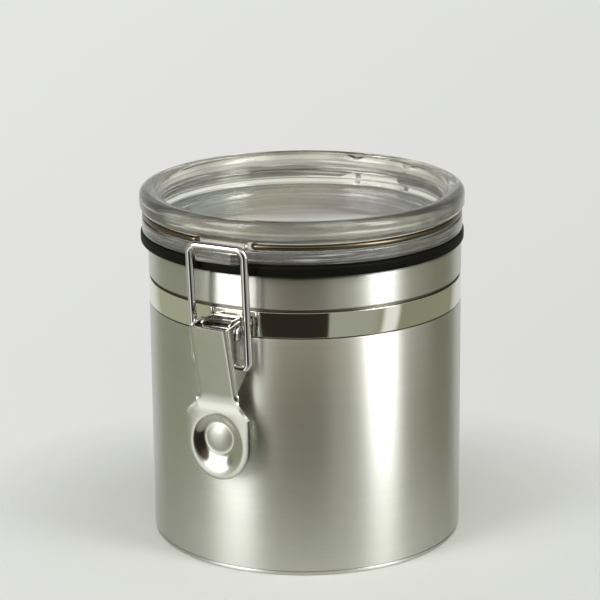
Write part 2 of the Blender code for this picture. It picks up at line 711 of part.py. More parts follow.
def lever(surface):
    """The lever: sheet thickness behind its face, and holes for the rivet and the bail's feet."""
    shape = lever_sheet()
    bmesh.ops.recalc_face_normals(shape, faces=shape.faces)
    probe = min(shape.faces, key=lambda face: face.calc_center_median().y)
    if probe.normal.y > 0:
        bmesh.ops.reverse_faces(shape, faces=shape.faces)
    mesh = bpy.data.meshes.new("lever")
    shape.to_mesh(mesh)
    shape.free()
    mesh.shade_smooth()
    pivot = (0, -PIVOT_OUT, PIVOT_HEIGHT)
    piece = place("lever", mesh, surface, pivot)
    sheet = piece.modifiers.new("sheet", "SOLIDIFY")
    sheet.thickness = LEVER_SHEET
    sheet.offset = -1
    sheet.use_even_offset = True
    width = 4 * LEVER_HALF_WIDTH
    pivot_hole = rod("lever_pivot_hole", pivot, "X", RIVET_RADIUS + PIN_GAP, width)
    foot = (0, -BAIL_FOOT_OUT, BAIL_FOOT_HEIGHT)
    foot_hole = rod("bail_foot_hole", foot, "X", BAIL_WIRE / 2 + PIN_GAP, width)
    shape_with(piece, pivot_hole, "DIFFERENCE")
    shape_with(piece, foot_hole, "DIFFERENCE")
    return piece, [pivot_hole, foot_hole]


def bail(surface):
    """The wire loop: feet turned into the lever's sides, legs up outside it, bar over the catch."""
    inside = LEVER_HALF_WIDTH - LEVER_SHEET - BAIL_FOOT_INSIDE
    half = [
        (Vector((inside, -BAIL_FOOT_OUT, BAIL_FOOT_HEIGHT)), 0),
        (Vector((BAIL_FOOT_HALF_WIDTH, -BAIL_FOOT_OUT, BAIL_FOOT_HEIGHT)), BAIL_FOOT_CORNER_RADIUS),
        (Vector((BAIL_BAR_HALF_WIDTH, -BAIL_BAR_OUT, BAIL_BAR_HEIGHT)), BAIL_CORNER_RADIUS),
    ]
    mirrored = [(Vector((-spot.x, spot.y, spot.z)), radius) for spot, radius in half[::-1]]
    path = rounded_path(half + mirrored)
    return wire("bail", path, BAIL_WIRE, surface, (0, -BAIL_FOOT_OUT, BAIL_FOOT_HEIGHT))


def hinge_bracket(surface):
    """Sheet on the strap's back that rises to a knuckle rolled round the lid wire."""
    half = BRACKET_SHEET / 2
    foot_out = CAN_RADIUS + GAP + half
    curl = LID_WIRE / 2 + PIN_GAP + half
    bend = Vector((foot_out, STRAP_BOTTOM + HINGE_PLATE_HEIGHT))
    centre = Vector((HINGE_OUT, HINGE_HEIGHT))
    to_centre = centre - bend
    slope = math.atan2(to_centre.y, to_centre.x) - math.asin(curl / to_centre.length)
    touch = centre + curl * Vector((math.sin(slope), -math.cos(slope)))
    path = rounded_path(
        [((foot_out, STRAP_BOTTOM), 0), (bend, HINGE_BEND_RADIUS), (touch, 0)],
    )
    turns = math.ceil(KNUCKLE_WRAP / ARC_STEP)
    for i in range(1, turns + 1):
        angle = slope - math.pi / 2 + KNUCKLE_WRAP * i / turns
        path.append(centre + curl * Vector((math.cos(angle), math.sin(angle))))
    outline = ribbon(path, BRACKET_SHEET)
    shape = bmesh.new()
    columns = 6
    slices = []
    for i in range(columns + 1):
        across = KNUCKLE_HALF_WIDTH * (2 * i / columns - 1)
        slices.append([shape.verts.new((across, point.x, point.y)) for point in outline])
    for near, far in zip(slices, slices[1:]):
        for i in range(len(near)):
            shape.faces.new((near[i - 1], near[i], far[i], far[i - 1]))
    shape.faces.new(slices[0])
    shape.faces.new(slices[-1][::-1])
    for vert in shape.verts:
        full = (bend.y + HINGE_FIT_ABOVE - vert.co.z) / HINGE_FIT_LENGTH
        fit = min(max(full, 0.0), 1.0)
        vert.co.y -= fit * (CAN_RADIUS - math.sqrt(CAN_RADIUS**2 - vert.co.x**2))
    return place("hinge_bracket", finished_mesh("hinge_bracket", shape), surface, (0, 0, 0))


def lid(surface, hinge):
    """The clear lid: flange, wire groove, rounded rim, well, skirt, and the catch block in front."""
    flange_top = LID_BOTTOM + LID_FLANGE_HEIGHT
    crest = LID_BOTTOM + LID_RISE
    groove_floor = LID_WIRE_RADIUS - LID_WIRE / 2 - GAP
    groove_low = LID_WIRE_HEIGHT - LID_WIRE / 2 - GROOVE_SIDE_SPACE
    groove_high = LID_WIRE_HEIGHT + LID_WIRE / 2 + GROOVE_SIDE_SPACE
    skirt_bottom = GASKET_BOTTOM - GASKET_LIP_DEPTH + GAP
    corners = [
        (0.0, LID_BOTTOM),
        (SKIRT_RADIUS - LID_SKIRT_WIDTH, LID_BOTTOM),
        (SKIRT_RADIUS - LID_SKIRT_WIDTH, skirt_bottom),
        (SKIRT_RADIUS, skirt_bottom),
        (SKIRT_RADIUS, LID_BOTTOM),
        (LID_FLANGE_RADIUS, LID_BOTTOM, 0.0008),
        (LID_FLANGE_RADIUS, flange_top, 0.0005),
        (groove_floor, groove_low),
        (groove_floor, groove_high),
        (LID_FLANGE_RADIUS, groove_high + GROOVE_SIDE_SPACE / 2),
        (LID_RADIUS, groove_high + LID_EDGE_RISE),
        (LID_RADIUS, crest - LID_CREST_CORNER / 2, LID_CREST_CORNER),
        (LID_CREST_RADIUS, crest),
        (LID_WELL_RADIUS, crest - LID_WELL_LIP_DROP, 0.0009),
        (LID_WELL_RADIUS - LID_WELL_DRAFT, LID_BOTTOM + LID_FLOOR, 0.0016),
        (0.0, LID_BOTTOM + LID_FLOOR),
    ]
    piece = turned("lid", rounded_outline(corners), surface, LID_AXIS_Y, hinge)
    root = -(LID_FLANGE_RADIUS - CATCH_ROOT_DEPTH)
    catch_front = -(BAIL_BAR_OUT + CATCH_REACH)
    catch_plan = rounded_outline(
        [
            (-CATCH_HALF_WIDTH, root),
            (-CATCH_HALF_WIDTH, catch_front, CATCH_CORNER_RADIUS),
            (CATCH_HALF_WIDTH, catch_front, CATCH_CORNER_RADIUS),
            (CATCH_HALF_WIDTH, root),
        ],
        step=math.radians(30),
    )
    catch_low = BAIL_SEAT_HEIGHT - CATCH_THICKNESS
    catch = prism("catch_shape", catch_plan, "Z", catch_low, BAIL_SEAT_HEIGHT)
    block_plan = rounded_outline(
        [
            (-BLOCK_HALF_WIDTH, root),
            (-BLOCK_HALF_WIDTH, -BLOCK_FACE_OUT),
            (BLOCK_HALF_WIDTH, -BLOCK_FACE_OUT),
            (BLOCK_HALF_WIDTH, root),
        ]
    )
    block = prism("block_shape", block_plan, "Z", BAIL_SEAT_HEIGHT - BLOCK_SINK, groove_high + BLOCK_TOP_RISE)
    shape_with(piece, catch, "UNION")
    shape_with(piece, block, "UNION")
    tools = [catch, block]
    for side in (-1, 1):
        across = side * wire_end_across()
        depth = math.sqrt(LID_WIRE_RADIUS**2 - across**2) + LID_DRAW
        centre = (across, -depth, LID_WIRE_HEIGHT)
        length = 2 * (LID_WIRE / 2 + GAP + WIRE_END_DEPTH + GAP)
        tool = rod("wire_hole", centre, "Y", LID_WIRE / 2 + PIN_GAP, length)
        shape_with(piece, tool, "DIFFERENCE")
        tools.append(tool)
    return piece, tools


def wire_end_across():
    """How far to the side of the catch block's middle the lid wire's ends turn in."""
    return BLOCK_HALF_WIDTH + LID_WIRE / 2 + PIN_GAP + WIRE_END_SIDE_SPACE


def lid_wire(surface, hinge):
    """The wire round the lid: ends turned into the lid in front, a hinge loop at the back."""
    front = math.asin(wire_end_across() / LID_WIRE_RADIUS)
    back = math.asin(HINGE_LOOP_ROOT / LID_WIRE_RADIUS)
    arc = math.pi - front - back
    steps = round(arc / math.radians(6))
    ring_step = arc / steps

    def on_ring(angle, radius=LID_WIRE_RADIUS):
        return Vector((radius * math.sin(angle), LID_AXIS_Y - radius * math.cos(angle), LID_WIRE_HEIGHT))

    end = on_ring(front)
    stub = end + Vector((0, LID_WIRE / 2 + WIRE_END_DEPTH, 0))
    ring = [on_ring(front + ring_step * i) for i in range(1, steps)]
    root = on_ring(math.pi - back)
    loop = HINGE_LOOP_HALF_WIDTH
    drop = Vector((loop, HINGE_OUT - HINGE_LOOP_DROP_OUT, LID_WIRE_HEIGHT))
    foot = Vector((loop, HINGE_OUT, HINGE_HEIGHT))
    bend = LID_WIRE
    start = rounded_path([(stub, 0), (end, bend * 0.7), (ring[0], 0)])
    half = start + ring[1:]
    corners = [(ring[-1], 0), (root, bend), (drop, bend), (foot, bend), (Vector((0, *foot.yz)), 0)]
    half += rounded_path(corners)[1:-1]
    mirrored = [Vector((-spot.x, spot.y, spot.z)) for spot in half[::-1]]
    return wire("lid_wire", half + mirrored, LID_WIRE, surface, hinge)


def gasket(surface, hinge):
    """The seal: a flat ring under the lid's flange with a thin lip inside the mouth."""
    top = GASKET_BOTTOM + GASKET_THICKNESS
    lip_bottom = GASKET_BOTTOM - GASKET_LIP_DEPTH
    corners = [
        (GASKET_INNER_RADIUS, top),
        (GASKET_RADIUS, top, GASKET_EDGE_RADIUS),
        (GASKET_RADIUS, GASKET_BOTTOM, GASKET_EDGE_RADIUS),
        (GASKET_LIP_RADIUS, GASKET_BOTTOM),
        (GASKET_LIP_RADIUS, lip_bottom),
        (GASKET_INNER_RADIUS, lip_bottom),
    ]
    return turned("gasket", rounded_outline(corners), surface, LID_AXIS_Y, hinge)


def build():
    """Builds the tin, closed."""
    clear_scene()
    brushed = material("brushed_steel", (0.56, 0.56, 0.53), 0.34, 1.0)
    polished = material("polished_steel", (0.78, 0.78, 0.72), 0.06, 1.0)
    chrome = material("chrome", (0.82, 0.82, 0.83), 0.04, 1.0)
    clear = material("clear_acrylic", (0.95, 0.97, 0.95), 0.03, 0.0, 1.0)
    black = material("black_rubber", (0.02, 0.02, 0.018), 0.55, 0.0)

    can_wall(brushed)
    can_base(brushed)
    strap(polished)
    latch_bracket(polished)
    pivot_rivet(chrome)
    hinge_bracket(polished)

    hinge = (0, HINGE_OUT, HINGE_HEIGHT)
    lid_piece, lid_tools = lid(clear, hinge)
    carry("lid_hinge", hinge, [lid_piece, *lid_tools, gasket(black, hinge), lid_wire(chrome, hinge)])

    pivot = (0, -PIVOT_OUT, PIVOT_HEIGHT)
    lever_piece, lever_tools = lever(chrome)
    bail_piece = bail(chrome)
    carry("bail_swing", (0, -BAIL_FOOT_OUT, BAIL_FOOT_HEIGHT), [bail_piece])
    carry("lever_pivot", pivot, [lever_piece, *lever_tools, bpy.data.objects["bail_swing"]])


build()
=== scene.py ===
"""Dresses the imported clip-top tin: finer surfaces for its pieces, their finishes, and a small studio.

Lengths are in metres, +Z is up, and the origin is the middle of the tin's foot. The latch faces -Y.
The camera's place was fitted to the rims, the strap and the foot of the tin in the photograph.
"""

import json
import logging
import math
from dataclasses import dataclass
from enum import Enum

import bmesh
import bpy
import numpy as np
from bpy.types import ColorRamp, Material, Mesh, NodeSocket, Object, World
from mathutils import Matrix, Vector

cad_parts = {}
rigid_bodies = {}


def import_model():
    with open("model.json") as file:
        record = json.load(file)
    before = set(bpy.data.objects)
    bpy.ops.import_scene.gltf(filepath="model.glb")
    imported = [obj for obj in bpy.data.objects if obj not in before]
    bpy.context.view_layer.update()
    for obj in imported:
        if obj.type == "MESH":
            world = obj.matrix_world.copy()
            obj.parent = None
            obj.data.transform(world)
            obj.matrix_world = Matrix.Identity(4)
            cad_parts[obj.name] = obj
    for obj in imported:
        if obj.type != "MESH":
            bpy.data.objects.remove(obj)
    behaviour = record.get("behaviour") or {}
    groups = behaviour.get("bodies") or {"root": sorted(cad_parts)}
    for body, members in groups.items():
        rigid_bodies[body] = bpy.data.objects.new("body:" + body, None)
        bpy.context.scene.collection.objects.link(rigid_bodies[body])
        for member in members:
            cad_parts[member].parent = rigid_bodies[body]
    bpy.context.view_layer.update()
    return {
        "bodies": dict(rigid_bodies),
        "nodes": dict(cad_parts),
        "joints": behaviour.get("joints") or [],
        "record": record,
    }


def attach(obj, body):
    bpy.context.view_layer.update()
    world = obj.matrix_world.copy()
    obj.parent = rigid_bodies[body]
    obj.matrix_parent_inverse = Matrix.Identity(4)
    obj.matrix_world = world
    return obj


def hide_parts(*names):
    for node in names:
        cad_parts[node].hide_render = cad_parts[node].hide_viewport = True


Array = np.ndarray
Colour = tuple[float, float, float]
Corner = tuple[float, float, float]
Pair = tuple[float, float]

LOG = logging.getLogger("clip_top_tin")
DEGREES = math.degrees(1.0)
SMOOTH_BELOW = 35.0
SHEET_EDGE = 0.0002
WIRE_AWAY = (0.0, -0.7, 0.7)

# Shared with the part's source
GAP = 0.0003
CAN_RADIUS = 0.0614
LID_SHIFT = -0.0020
LID_BOTTOM = 0.1236
HINGE_AXIS = (0.0723, 0.1200)
PIVOT_AXIS = (0.0672, 0.0974)
BAIL_AXIS = (0.0657, 0.0835)


class Body(Enum):
    """The bodies that the tin's pieces ride on."""

    CAN = "can"
    LEVER = "lever"
    BAIL = "bail"
    LID = "lid"


class Slot(Enum):
    """The record's material slots."""

    BRUSHED = "brushed_steel"
    POLISHED = "polished_steel"
    CHROME = "chrome"
    ACRYLIC = "clear_acrylic"
    RUBBER = "black_rubber"


# Shapes as arrays


def unit(vectors: Array) -> Array:
    """Vectors divided by their lengths, along the last axis."""
    return vectors / np.maximum(np.linalg.norm(vectors, axis=-1, keepdims=True), 1e-12)


def corner_arcs(before: Array, corner: Array, after: Array, radii: Array, steps: int) -> Array:
    """Arcs that round corners, in the plane or in space.

    The arc's centre lies on the corner's bisector at radius / sin(half the opening). Its spokes turn
    evenly from the first touching point to the second, each a blend of the two end spokes weighted by
    the sines of the remaining and the covered angle.

    Args:
        before: Points on the first arms, one for each corner.
        corner: The corners.
        after: Points on the second arms.
        radii: The arcs' radii.
        steps: Points in each arc.

    Returns:
        An array of corners x steps x coordinates.
    """
    first = unit(before - corner)
    second = unit(after - corner)
    half = 0.5 * np.arccos(np.clip((first * second).sum(-1), -1.0, 1.0))
    reach = (radii / np.tan(half))[:, None]
    centre = corner + unit(first + second) * (radii / np.sin(half))[:, None]
    start = corner + first * reach - centre
    end = corner + second * reach - centre
    turn = (math.pi - 2 * half)[:, None, None]
    share = np.linspace(0.0, 1.0, steps)[None, :, None]
    spokes = start[:, None] * np.sin((1 - share) * turn) + end[:, None] * np.sin(share * turn)
    return centre[:, None] + spokes / np.sin(turn)


def rounded_outline(corners: list[Corner], steps: int) -> Array:
    """Closed outline from corners that are each (across, up, radius).

    Args:
        corners: The corners in order, with a radius above zero for each.
        steps: Points in each corner's arc.

    Returns:
        The outline's points.
    """
    table = np.array(corners, float)
    spots = table[:, :2]
    arcs = corner_arcs(np.roll(spots, 1, 0), spots, np.roll(spots, -1, 0), table[:, 2], steps)
    return arcs.reshape(-1, 2)


def rounded_path(points: list[tuple[float, ...]], radii: list[float], steps: int) -> Array:
    """Open path that keeps its two ends and rounds every corner between them.

    Args:
        points: The path's corners.
        radii: The bend radius of each inner corner.
        steps: Points in each bend.

    Returns:
        The path's points.
    """
    spots = np.array(points, float)
    arcs = corner_arcs(spots[:-2], spots[1:-1], spots[2:], np.array(radii, float), steps)
    return np.vstack([spots[:1], arcs.reshape(-1, spots.shape[1]), spots[-1:]])


def rounded_section(start: Pair, corners: list[Corner], end: Pair, steps: int) -> Array:
    """Open section that keeps its two ends and rounds corners that are each (out, up, radius).

    Args:
        start: The first end.
        corners: The corners in order.
        end: The last end.
        steps: Points in each bend.

    Returns:
        The section's points.
    """
    spots = [start, *[corner[:2] for corner in corners], end]
    return rounded_path(spots, [corner[2] for corner in corners], steps)


def grid_faces(rows: int, columns: int, wrap_rows: bool, wrap_columns: bool) -> Array:
    """Quads of a grid of vertices numbered row by row.

    Args:
        rows: Number of rows.
        columns: Number of columns.
        wrap_rows: Whether the last row joins the first.
        wrap_columns: Whether the last column joins the first.

    Returns:
        An array of faces x 4 vertex numbers.
    """
    row = np.arange(rows if wrap_rows else rows - 1)[:, None]
    column = np.arange(columns if wrap_columns else columns - 1)[None, :]
    next_row = (row + 1) % rows
    next_column = (column + 1) % columns
    corners = (
        row * columns + column,
        row * columns + next_column,
        next_row * columns + next_column,
        next_row * columns + column,
    )
    return np.stack(np.broadcast_arrays(*corners), -1).reshape(-1, 4)


def fan_faces(ring: Array, pole: int) -> Array:
    """Triangles from a closed ring of vertex numbers to one pole."""
    return np.stack([ring, np.roll(ring, -1), np.full(len(ring), pole)], -1)


def build_mesh(name: str, spots: Array, faces: list[Array], smooth_below: float = SMOOTH_BELOW) -> Mesh:
    """Turns arrays into a mesh with faces outward and only its sharp edges sharp.

    Args:
        name: The mesh's name.
        spots: Vertices x 3.
        faces: Arrays of faces, each with its own number of corners.
        smooth_below: Edges that turn less than this many degrees are shaded smooth.

    Returns:
        The mesh.
    """
    mesh = bpy.data.meshes.new(name)
    listed = [face for block in faces for face in block.tolist()]
    mesh.from_pydata(spots.reshape(-1, 3).tolist(), [], listed)
    shape = bmesh.new()
    shape.from_mesh(mesh)
    bmesh.ops.remove_doubles(shape, verts=shape.verts, dist=2e-6)
    bmesh.ops.recalc_face_normals(shape, faces=shape.faces)
    shape.to_mesh(mesh)
    shape.free()
    mesh.shade_smooth()
    mesh.set_sharp_from_angle(angle=math.radians(smooth_below))
    return mesh


def revolve(name: str, profile: Array, segments: int, centre: Pair = (0.0, 0.0)) -> Mesh:
    """Surface of revolution about an upright axis.

    A point of the profile (r, z) at the angle a goes to (x + r cos a, y + r sin a, z). A closed profile
    makes a ring. One whose two ends lie on the axis is closed there with a fan at each end.

    Args:
        name: The mesh's name.
        profile: Points of (radius, height).
        segments: Steps round the axis.
        centre: The axis's x and y.

    Returns:
        The mesh.
    """
    solid = bool(profile[0, 0] < 1e-6 and profile[-1, 0] < 1e-6)
    rings = profile[1:-1] if solid else profile
    angle = np.linspace(0.0, math.tau, segments, endpoint=False)[None, :]
    across = rings[:, :1] * np.cos(angle) + centre[0]
    back = rings[:, :1] * np.sin(angle) + centre[1]
    height = np.broadcast_to(rings[:, 1:], across.shape)
    spots = np.stack([across, back, height], -1).reshape(-1, 3)
    faces = [grid_faces(len(rings), segments, not solid, True)]
    if solid:
        poles = [[*centre, profile[0, 1]], [*centre, profile[-1, 1]]]
        spots = np.vstack([spots, poles])
        ring = np.arange(segments)
        last = (len(rings) - 1) * segments
        faces += [fan_faces(ring, len(spots) - 2), fan_faces(ring + last, len(spots) - 1)]
    return build_mesh(name, spots, faces)


def tube(name: str, path: Array, radius: float, sides: int) -> Mesh:
    """Round wire along a path, its two ends rounded over.

    At each point of the path two unit vectors stand square to its direction: the first square to a
    fixed slanting vector as well, the second square to both. A point of the wire is the path's point
    plus the radius times the cosine and sine of its angle along these two.

    Args:
        name: The mesh's name.
        path: Points x 3, nowhere along the slanting vector.
        radius: The wire's radius.
        sides: Points round the wire.

    Returns:
        The mesh.
    """
    edge = radius * 0.45
    turn = np.linspace(0.0, math.pi / 2, 5)
    inset = (edge * (1 - np.cos(turn)))[:, None]
    shrink = radius - edge + edge * np.sin(turn)
    start = path[0] + unit(path[1] - path[0]) * inset
    end = path[-1] - unit(path[-1] - path[-2]) * inset[::-1]
    spine = np.vstack([start, path[1:-1], end])
    radii = np.concatenate([shrink, np.full(len(path) - 2, radius), shrink[::-1]])
    way = unit(np.gradient(spine, axis=0))
    one = unit(np.cross(way, WIRE_AWAY))
    two = np.cross(way, one)
    angle = np.linspace(0.0, math.tau, sides, endpoint=False)[None, :, None]
    ring = np.cos(angle) * one[:, None] + np.sin(angle) * two[:, None]
    spots = (spine[:, None] + radii[:, None, None] * ring).reshape(-1, 3)
    spots = np.vstack([spots, spine[:1], spine[-1:]])
    first = np.arange(sides)
    faces = [
        grid_faces(len(spine), sides, False, True),
        fan_faces(first, len(spots) - 2),
        fan_faces(first + (len(spine) - 1) * sides, len(spots) - 1),
    ]
    return build_mesh(name, spots, faces, 50.0)


def slab(name: str, outline: Array, low: float, high: float) -> Mesh:
    """A closed outline in plan carried straight up, with flat ends.

    Args:
        name: The mesh's name.
        outline: Its points, in order.
        low: Where it starts.
        high: Where it ends.

    Returns:
        The mesh.
    """
    ends = [np.insert(outline, 2, level, axis=1) for level in (low, high)]
    count = len(outline)
    caps = np.arange(count)[None, :]
    faces = [grid_faces(2, count, False, True), caps, caps + count]
    return build_mesh(name, np.vstack(ends), faces)


# Shader nodes


class Wire:
    """A socket's value, on which arithmetic adds Math nodes."""

    def __init__(self, surface: "Surface", socket: NodeSocket) -> None:
        """Keeps the socket and the surface that it belongs to."""
        self.surface = surface
        self.socket = socket

    def _math(self, operation: str, *values: "Wire | float") -> "Wire":
        """One Math node with the given operation and inputs."""
        return self.surface.node("ShaderNodeMath", {"operation": operation}, dict(enumerate(values)))

    def __add__(self, other: "Wire | float") -> "Wire":
        """Sum."""
        return self._math("ADD", self, other)

    def __radd__(self, other: float) -> "Wire":
        """Sum with a number on the left."""
        return self._math("ADD", other, self)

    def __sub__(self, other: "Wire | float") -> "Wire":
        """Difference."""
        return self._math("SUBTRACT", self, other)

    def __rsub__(self, other: float) -> "Wire":
        """Difference from a number."""
        return self._math("SUBTRACT", other, self)

    def __mul__(self, other: "Wire | float") -> "Wire":
        """Product."""
        return self._math("MULTIPLY", self, other)

    def __rmul__(self, other: float) -> "Wire":
        """Product with a number on the left."""
        return self._math("MULTIPLY", other, self)

    def __pow__(self, other: float) -> "Wire":
        """Power."""
        return self._math("POWER", self, other)

    def clamped(self) -> "Wire":
        """The value held between 0 and 1."""
        return self.surface.node("ShaderNodeClamp", {}, {"Value": self}, "Result")

    def above(self, level: "Wire | float", rate: float) -> "Wire":
        """0 up to a level, and from there rising to 1 at the rate."""
        return ((self - level) * rate).clamped()

    def below(self, level: "Wire | float", rate: float) -> "Wire":
        """0 down to a level, and from there rising to 1 at the rate."""
        return ((level - self) * rate).clamped()

    def band(self, low: float, high: float, rate: float) -> "Wire":
        """1 between two levels and 0 outside, rising inwards from each."""
        return self.above(low, rate) * self.below(high, rate)


class Surface:
    """The nodes of a material or of the world."""

    def __init__(self, block: Material | World) -> None:
        """Clears the block's node tree.

        Args:
            block: A material or the world.
        """
        block.use_nodes = True
        self.output = "ShaderNodeOutputWorld" if isinstance(block, World) else "ShaderNodeOutputMaterial"
        self.tree = block.node_tree
        self.tree.nodes.clear()

    def node(self, kind: str, settings: dict, inputs: dict, output: str | int = 0) -> Wire:
        """Adds a node.

        Args:
            kind: The node's type.
            settings: Attributes set first. A ramp's stops are given as "stops".
            inputs: Values or wires by socket name or number.
            output: The socket to return.

        Returns:
            The wanted output.
        """
        made = self.tree.nodes.new(kind)
        for key, value in settings.items():
            if key == "stops":
                self._set_stops(made.color_ramp, value)
            else:
                setattr(made, key, value)
        for key, value in inputs.items():
            if isinstance(value, Wire):
                self.tree.links.new(value.socket, made.inputs[key])
            else:
                made.inputs[key].default_value = value
        return Wire(self, made.outputs[output])

    @staticmethod
    def _set_stops(ramp: ColorRamp, stops: list[tuple[float, Colour]]) -> None:
        """Replaces a ramp's stops.

        Args:
            ramp: The ramp, with no more stops than it gets.
            stops: Pairs of place and colour.
        """
        while len(ramp.elements) < len(stops):
            ramp.elements.new(0.5)
        for element, (place, colour) in zip(ramp.elements, stops):
            element.position = place
            element.color = (*colour, 1.0)

    def spot(self) -> Wire:
        """The point in the tin's own coordinates."""
        return self.node("ShaderNodeTexCoord", {}, {}, "Object")

    def split(self, vector: Wire) -> tuple[Wire, Wire, Wire]:
        """A vector's three numbers."""
        outputs = self.node("ShaderNodeSeparateXYZ", {}, {0: vector}).socket.node.outputs
        return Wire(self, outputs[0]), Wire(self, outputs[1]), Wire(self, outputs[2])

    def noise(self, vector: Wire, scale: float, detail: float, roughness: float = 0.5) -> Wire:
        """Smooth noise from 0 to 1."""
        inputs = {"Vector": vector, "Scale": scale, "Detail": detail, "Roughness": roughness}
        return self.node("ShaderNodeTexNoise", {}, inputs, "Fac")

    def drawn_out(self, x: Wire, y: Wire, z: "Wire | float", detail: float, roughness: float = 0.5) -> Wire:
        """Smooth noise at three numbers, each scaled by itself, so that it is drawn out some way."""
        return self.noise(self.node("ShaderNodeCombineXYZ", {}, {0: x, 1: y, 2: z}), 1.0, detail, roughness)

    def ramp(self, value: Wire, stops: list[tuple[float, Colour]]) -> Wire:
        """A colour ramp."""
        return self.node("ShaderNodeValToRGB", {"stops": stops}, {0: value}, "Color")

    def mixed(self, share: "Wire | float", first: "Wire | Colour", second: "Wire | Colour") -> Wire:
        """Blend of two colours."""
        colours = [colour if isinstance(colour, Wire) else (*colour, 1.0) for colour in (first, second)]
        return self.node("ShaderNodeMix", {"data_type": "RGBA"}, {0: share, 6: colours[0], 7: colours[1]}, 2)

    def blended(self, share: Wire, first: Wire, second: Wire) -> Wire:
        """Blend of two shaders."""
        return self.node("ShaderNodeMixShader", {}, {0: share, 1: first, 2: second})

    def bump(self, height: Wire, distance: float, strength: float) -> Wire:
        """A Bump node's normal."""
        inputs = {"Height": height, "Distance": distance, "Strength": strength}
        return self.node("ShaderNodeBump", {}, inputs, "Normal")

    def principled(self, inputs: dict) -> Wire:
        """The main shader with the given sockets set or linked."""
        return self.node("ShaderNodeBsdfPrincipled", {}, inputs, "BSDF")

    def ray(self, question: str) -> Wire:
        """1 for a ray of the kind that one of Light Path's outputs asks about."""
        return self.node("ShaderNodeLightPath", {}, {}, question)

    def finish(self, shader: Wire) -> None:
        """Links the shader to the output."""
        target = self.tree.nodes.new(self.output)
        self.tree.links.new(shader.socket, target.inputs["Surface"])


def scaled(colour: Colour, factor: float) -> Colour:
    """A colour made darker or lighter by a factor."""
    return tuple(part * factor for part in colour)


# Finishes


@dataclass(frozen=True)
class Finish:
    """A procedural finish, whose kinds each build their own shader."""

    def material(self, name: str) -> Material:
        """Makes a material of the finish.

        Args:
            name: The material's name.

        Returns:
            The material.
        """
        made = bpy.data.materials.new(name)
        surface = Surface(made)
        surface.finish(self.shader(surface))
        return made

    def shader(self, surface: Surface) -> Wire:
        """Builds the nodes on a surface and gives the shader."""
        raise NotImplementedError


@dataclass(frozen=True)
class BrushedSteel(Finish):
    """Stainless sheet brushed round the can: fine level lines that stretch highlights upright."""

    colour: Colour = (0.58, 0.587, 0.545)
    dark: float = 0.90
    light: float = 1.08
    roughness: float = 0.33
    anisotropy: float = 0.90
    quarter_turn: float = 0.25
    line_height: float = 0.00002
    inner_radius: float = 0.0610
    inner_colour: Colour = (0.66, 0.66, 0.60)
    inner_dullness: float = 0.5
    inner_roughness: float = 0.3
    groove_low: float = 0.0941
    groove_high: float = 0.1056
    groove_depth: float = 0.0010
    # Painted shade: the strap's groove is darkened beside the strap.
    groove_painted_shade: Colour = (0.16, 0.155, 0.13)
    edge_rate: float = 5000.0

    def shader(self, surface: Surface) -> Wire:
        """Brushed lines and bands outside, a duller inside, and painted shade in the strap's groove.

        Args:
            surface: What gets the nodes.

        Returns:
            The shader.
        """
        x, y, z = surface.split(surface.spot())
        lines = surface.drawn_out(x * 20.0, y * 20.0, z * 2600.0, 3.0, 0.6)
        bands = surface.drawn_out(x * 10.0, y * 10.0, z * 420.0, 2.0)
        patches = surface.drawn_out(x * 18.0, y * 18.0, z * 9.0, 2.0)
        away = (x * x + y * y) ** 0.5
        groove = z.band(self.groove_low, self.groove_high, self.edge_rate)
        inside = away.below(self.inner_radius - groove * self.groove_depth, self.edge_rate)
        # Painted shade: the groove's outer face, beside the strap, takes a dark colour.
        sunk = groove * away.below(self.inner_radius, self.edge_rate) * (1.0 - inside)
        tone = lines * 0.6 + bands * 0.4
        brushed = surface.mixed(tone, scaled(self.colour, self.dark), scaled(self.colour, self.light))
        brushed = surface.mixed(sunk, brushed, self.groove_painted_shade)
        return surface.principled(
            {
                "Base Color": surface.mixed(inside, brushed, self.inner_colour),
                "Metallic": 1.0 - inside * self.inner_dullness,
                "Roughness": patches * 0.06 + lines * 0.08 + inside * self.inner_roughness + self.roughness,
                "Anisotropic": self.anisotropy,
                "Anisotropic Rotation": self.quarter_turn,
                "Normal": surface.bump(lines * (1.0 - inside), self.line_height, 0.35),
            }
        )


@dataclass(frozen=True)
class PolishedSteel(Finish):
    """Bright sheet with faint handling marks."""

    colour: Colour = (0.74, 0.74, 0.67)
    roughness: float = 0.05
    smear_scale: float = 60.0
    smear_share: float = 0.05
    wave_scale: float = 140.0
    wave_detail: float = 1.0
    wave_height: float = 0.00003
    wave_strength: float = 0.3

    def shader(self, surface: Surface) -> Wire:
        """Smears in the gloss and a slight waviness.

        Args:
            surface: What gets the nodes.

        Returns:
            The shader.
        """
        spot = surface.spot()
        smear = surface.noise(spot, self.smear_scale, 3.0)
        wave = surface.noise(spot, self.wave_scale, self.wave_detail)
        return surface.principled(
            {
                "Base Color": (*self.colour, 1.0),
                "Metallic": 1.0,
                "Roughness": smear * self.smear_share + self.roughness,
                "Normal": surface.bump(wave, self.wave_height, self.wave_strength),
            }
        )


@dataclass(frozen=True)
class Chrome(PolishedSteel):
    """Bright plating on wire and pressed sheet, with a little waviness from the bending."""

    colour: Colour = (0.66, 0.64, 0.67)
    smear_scale: float = 220.0
    smear_share: float = 0.06
    wave_scale: float = 260.0
    wave_detail: float = 2.0
    wave_height: float = 0.00002
    wave_strength: float = 0.4


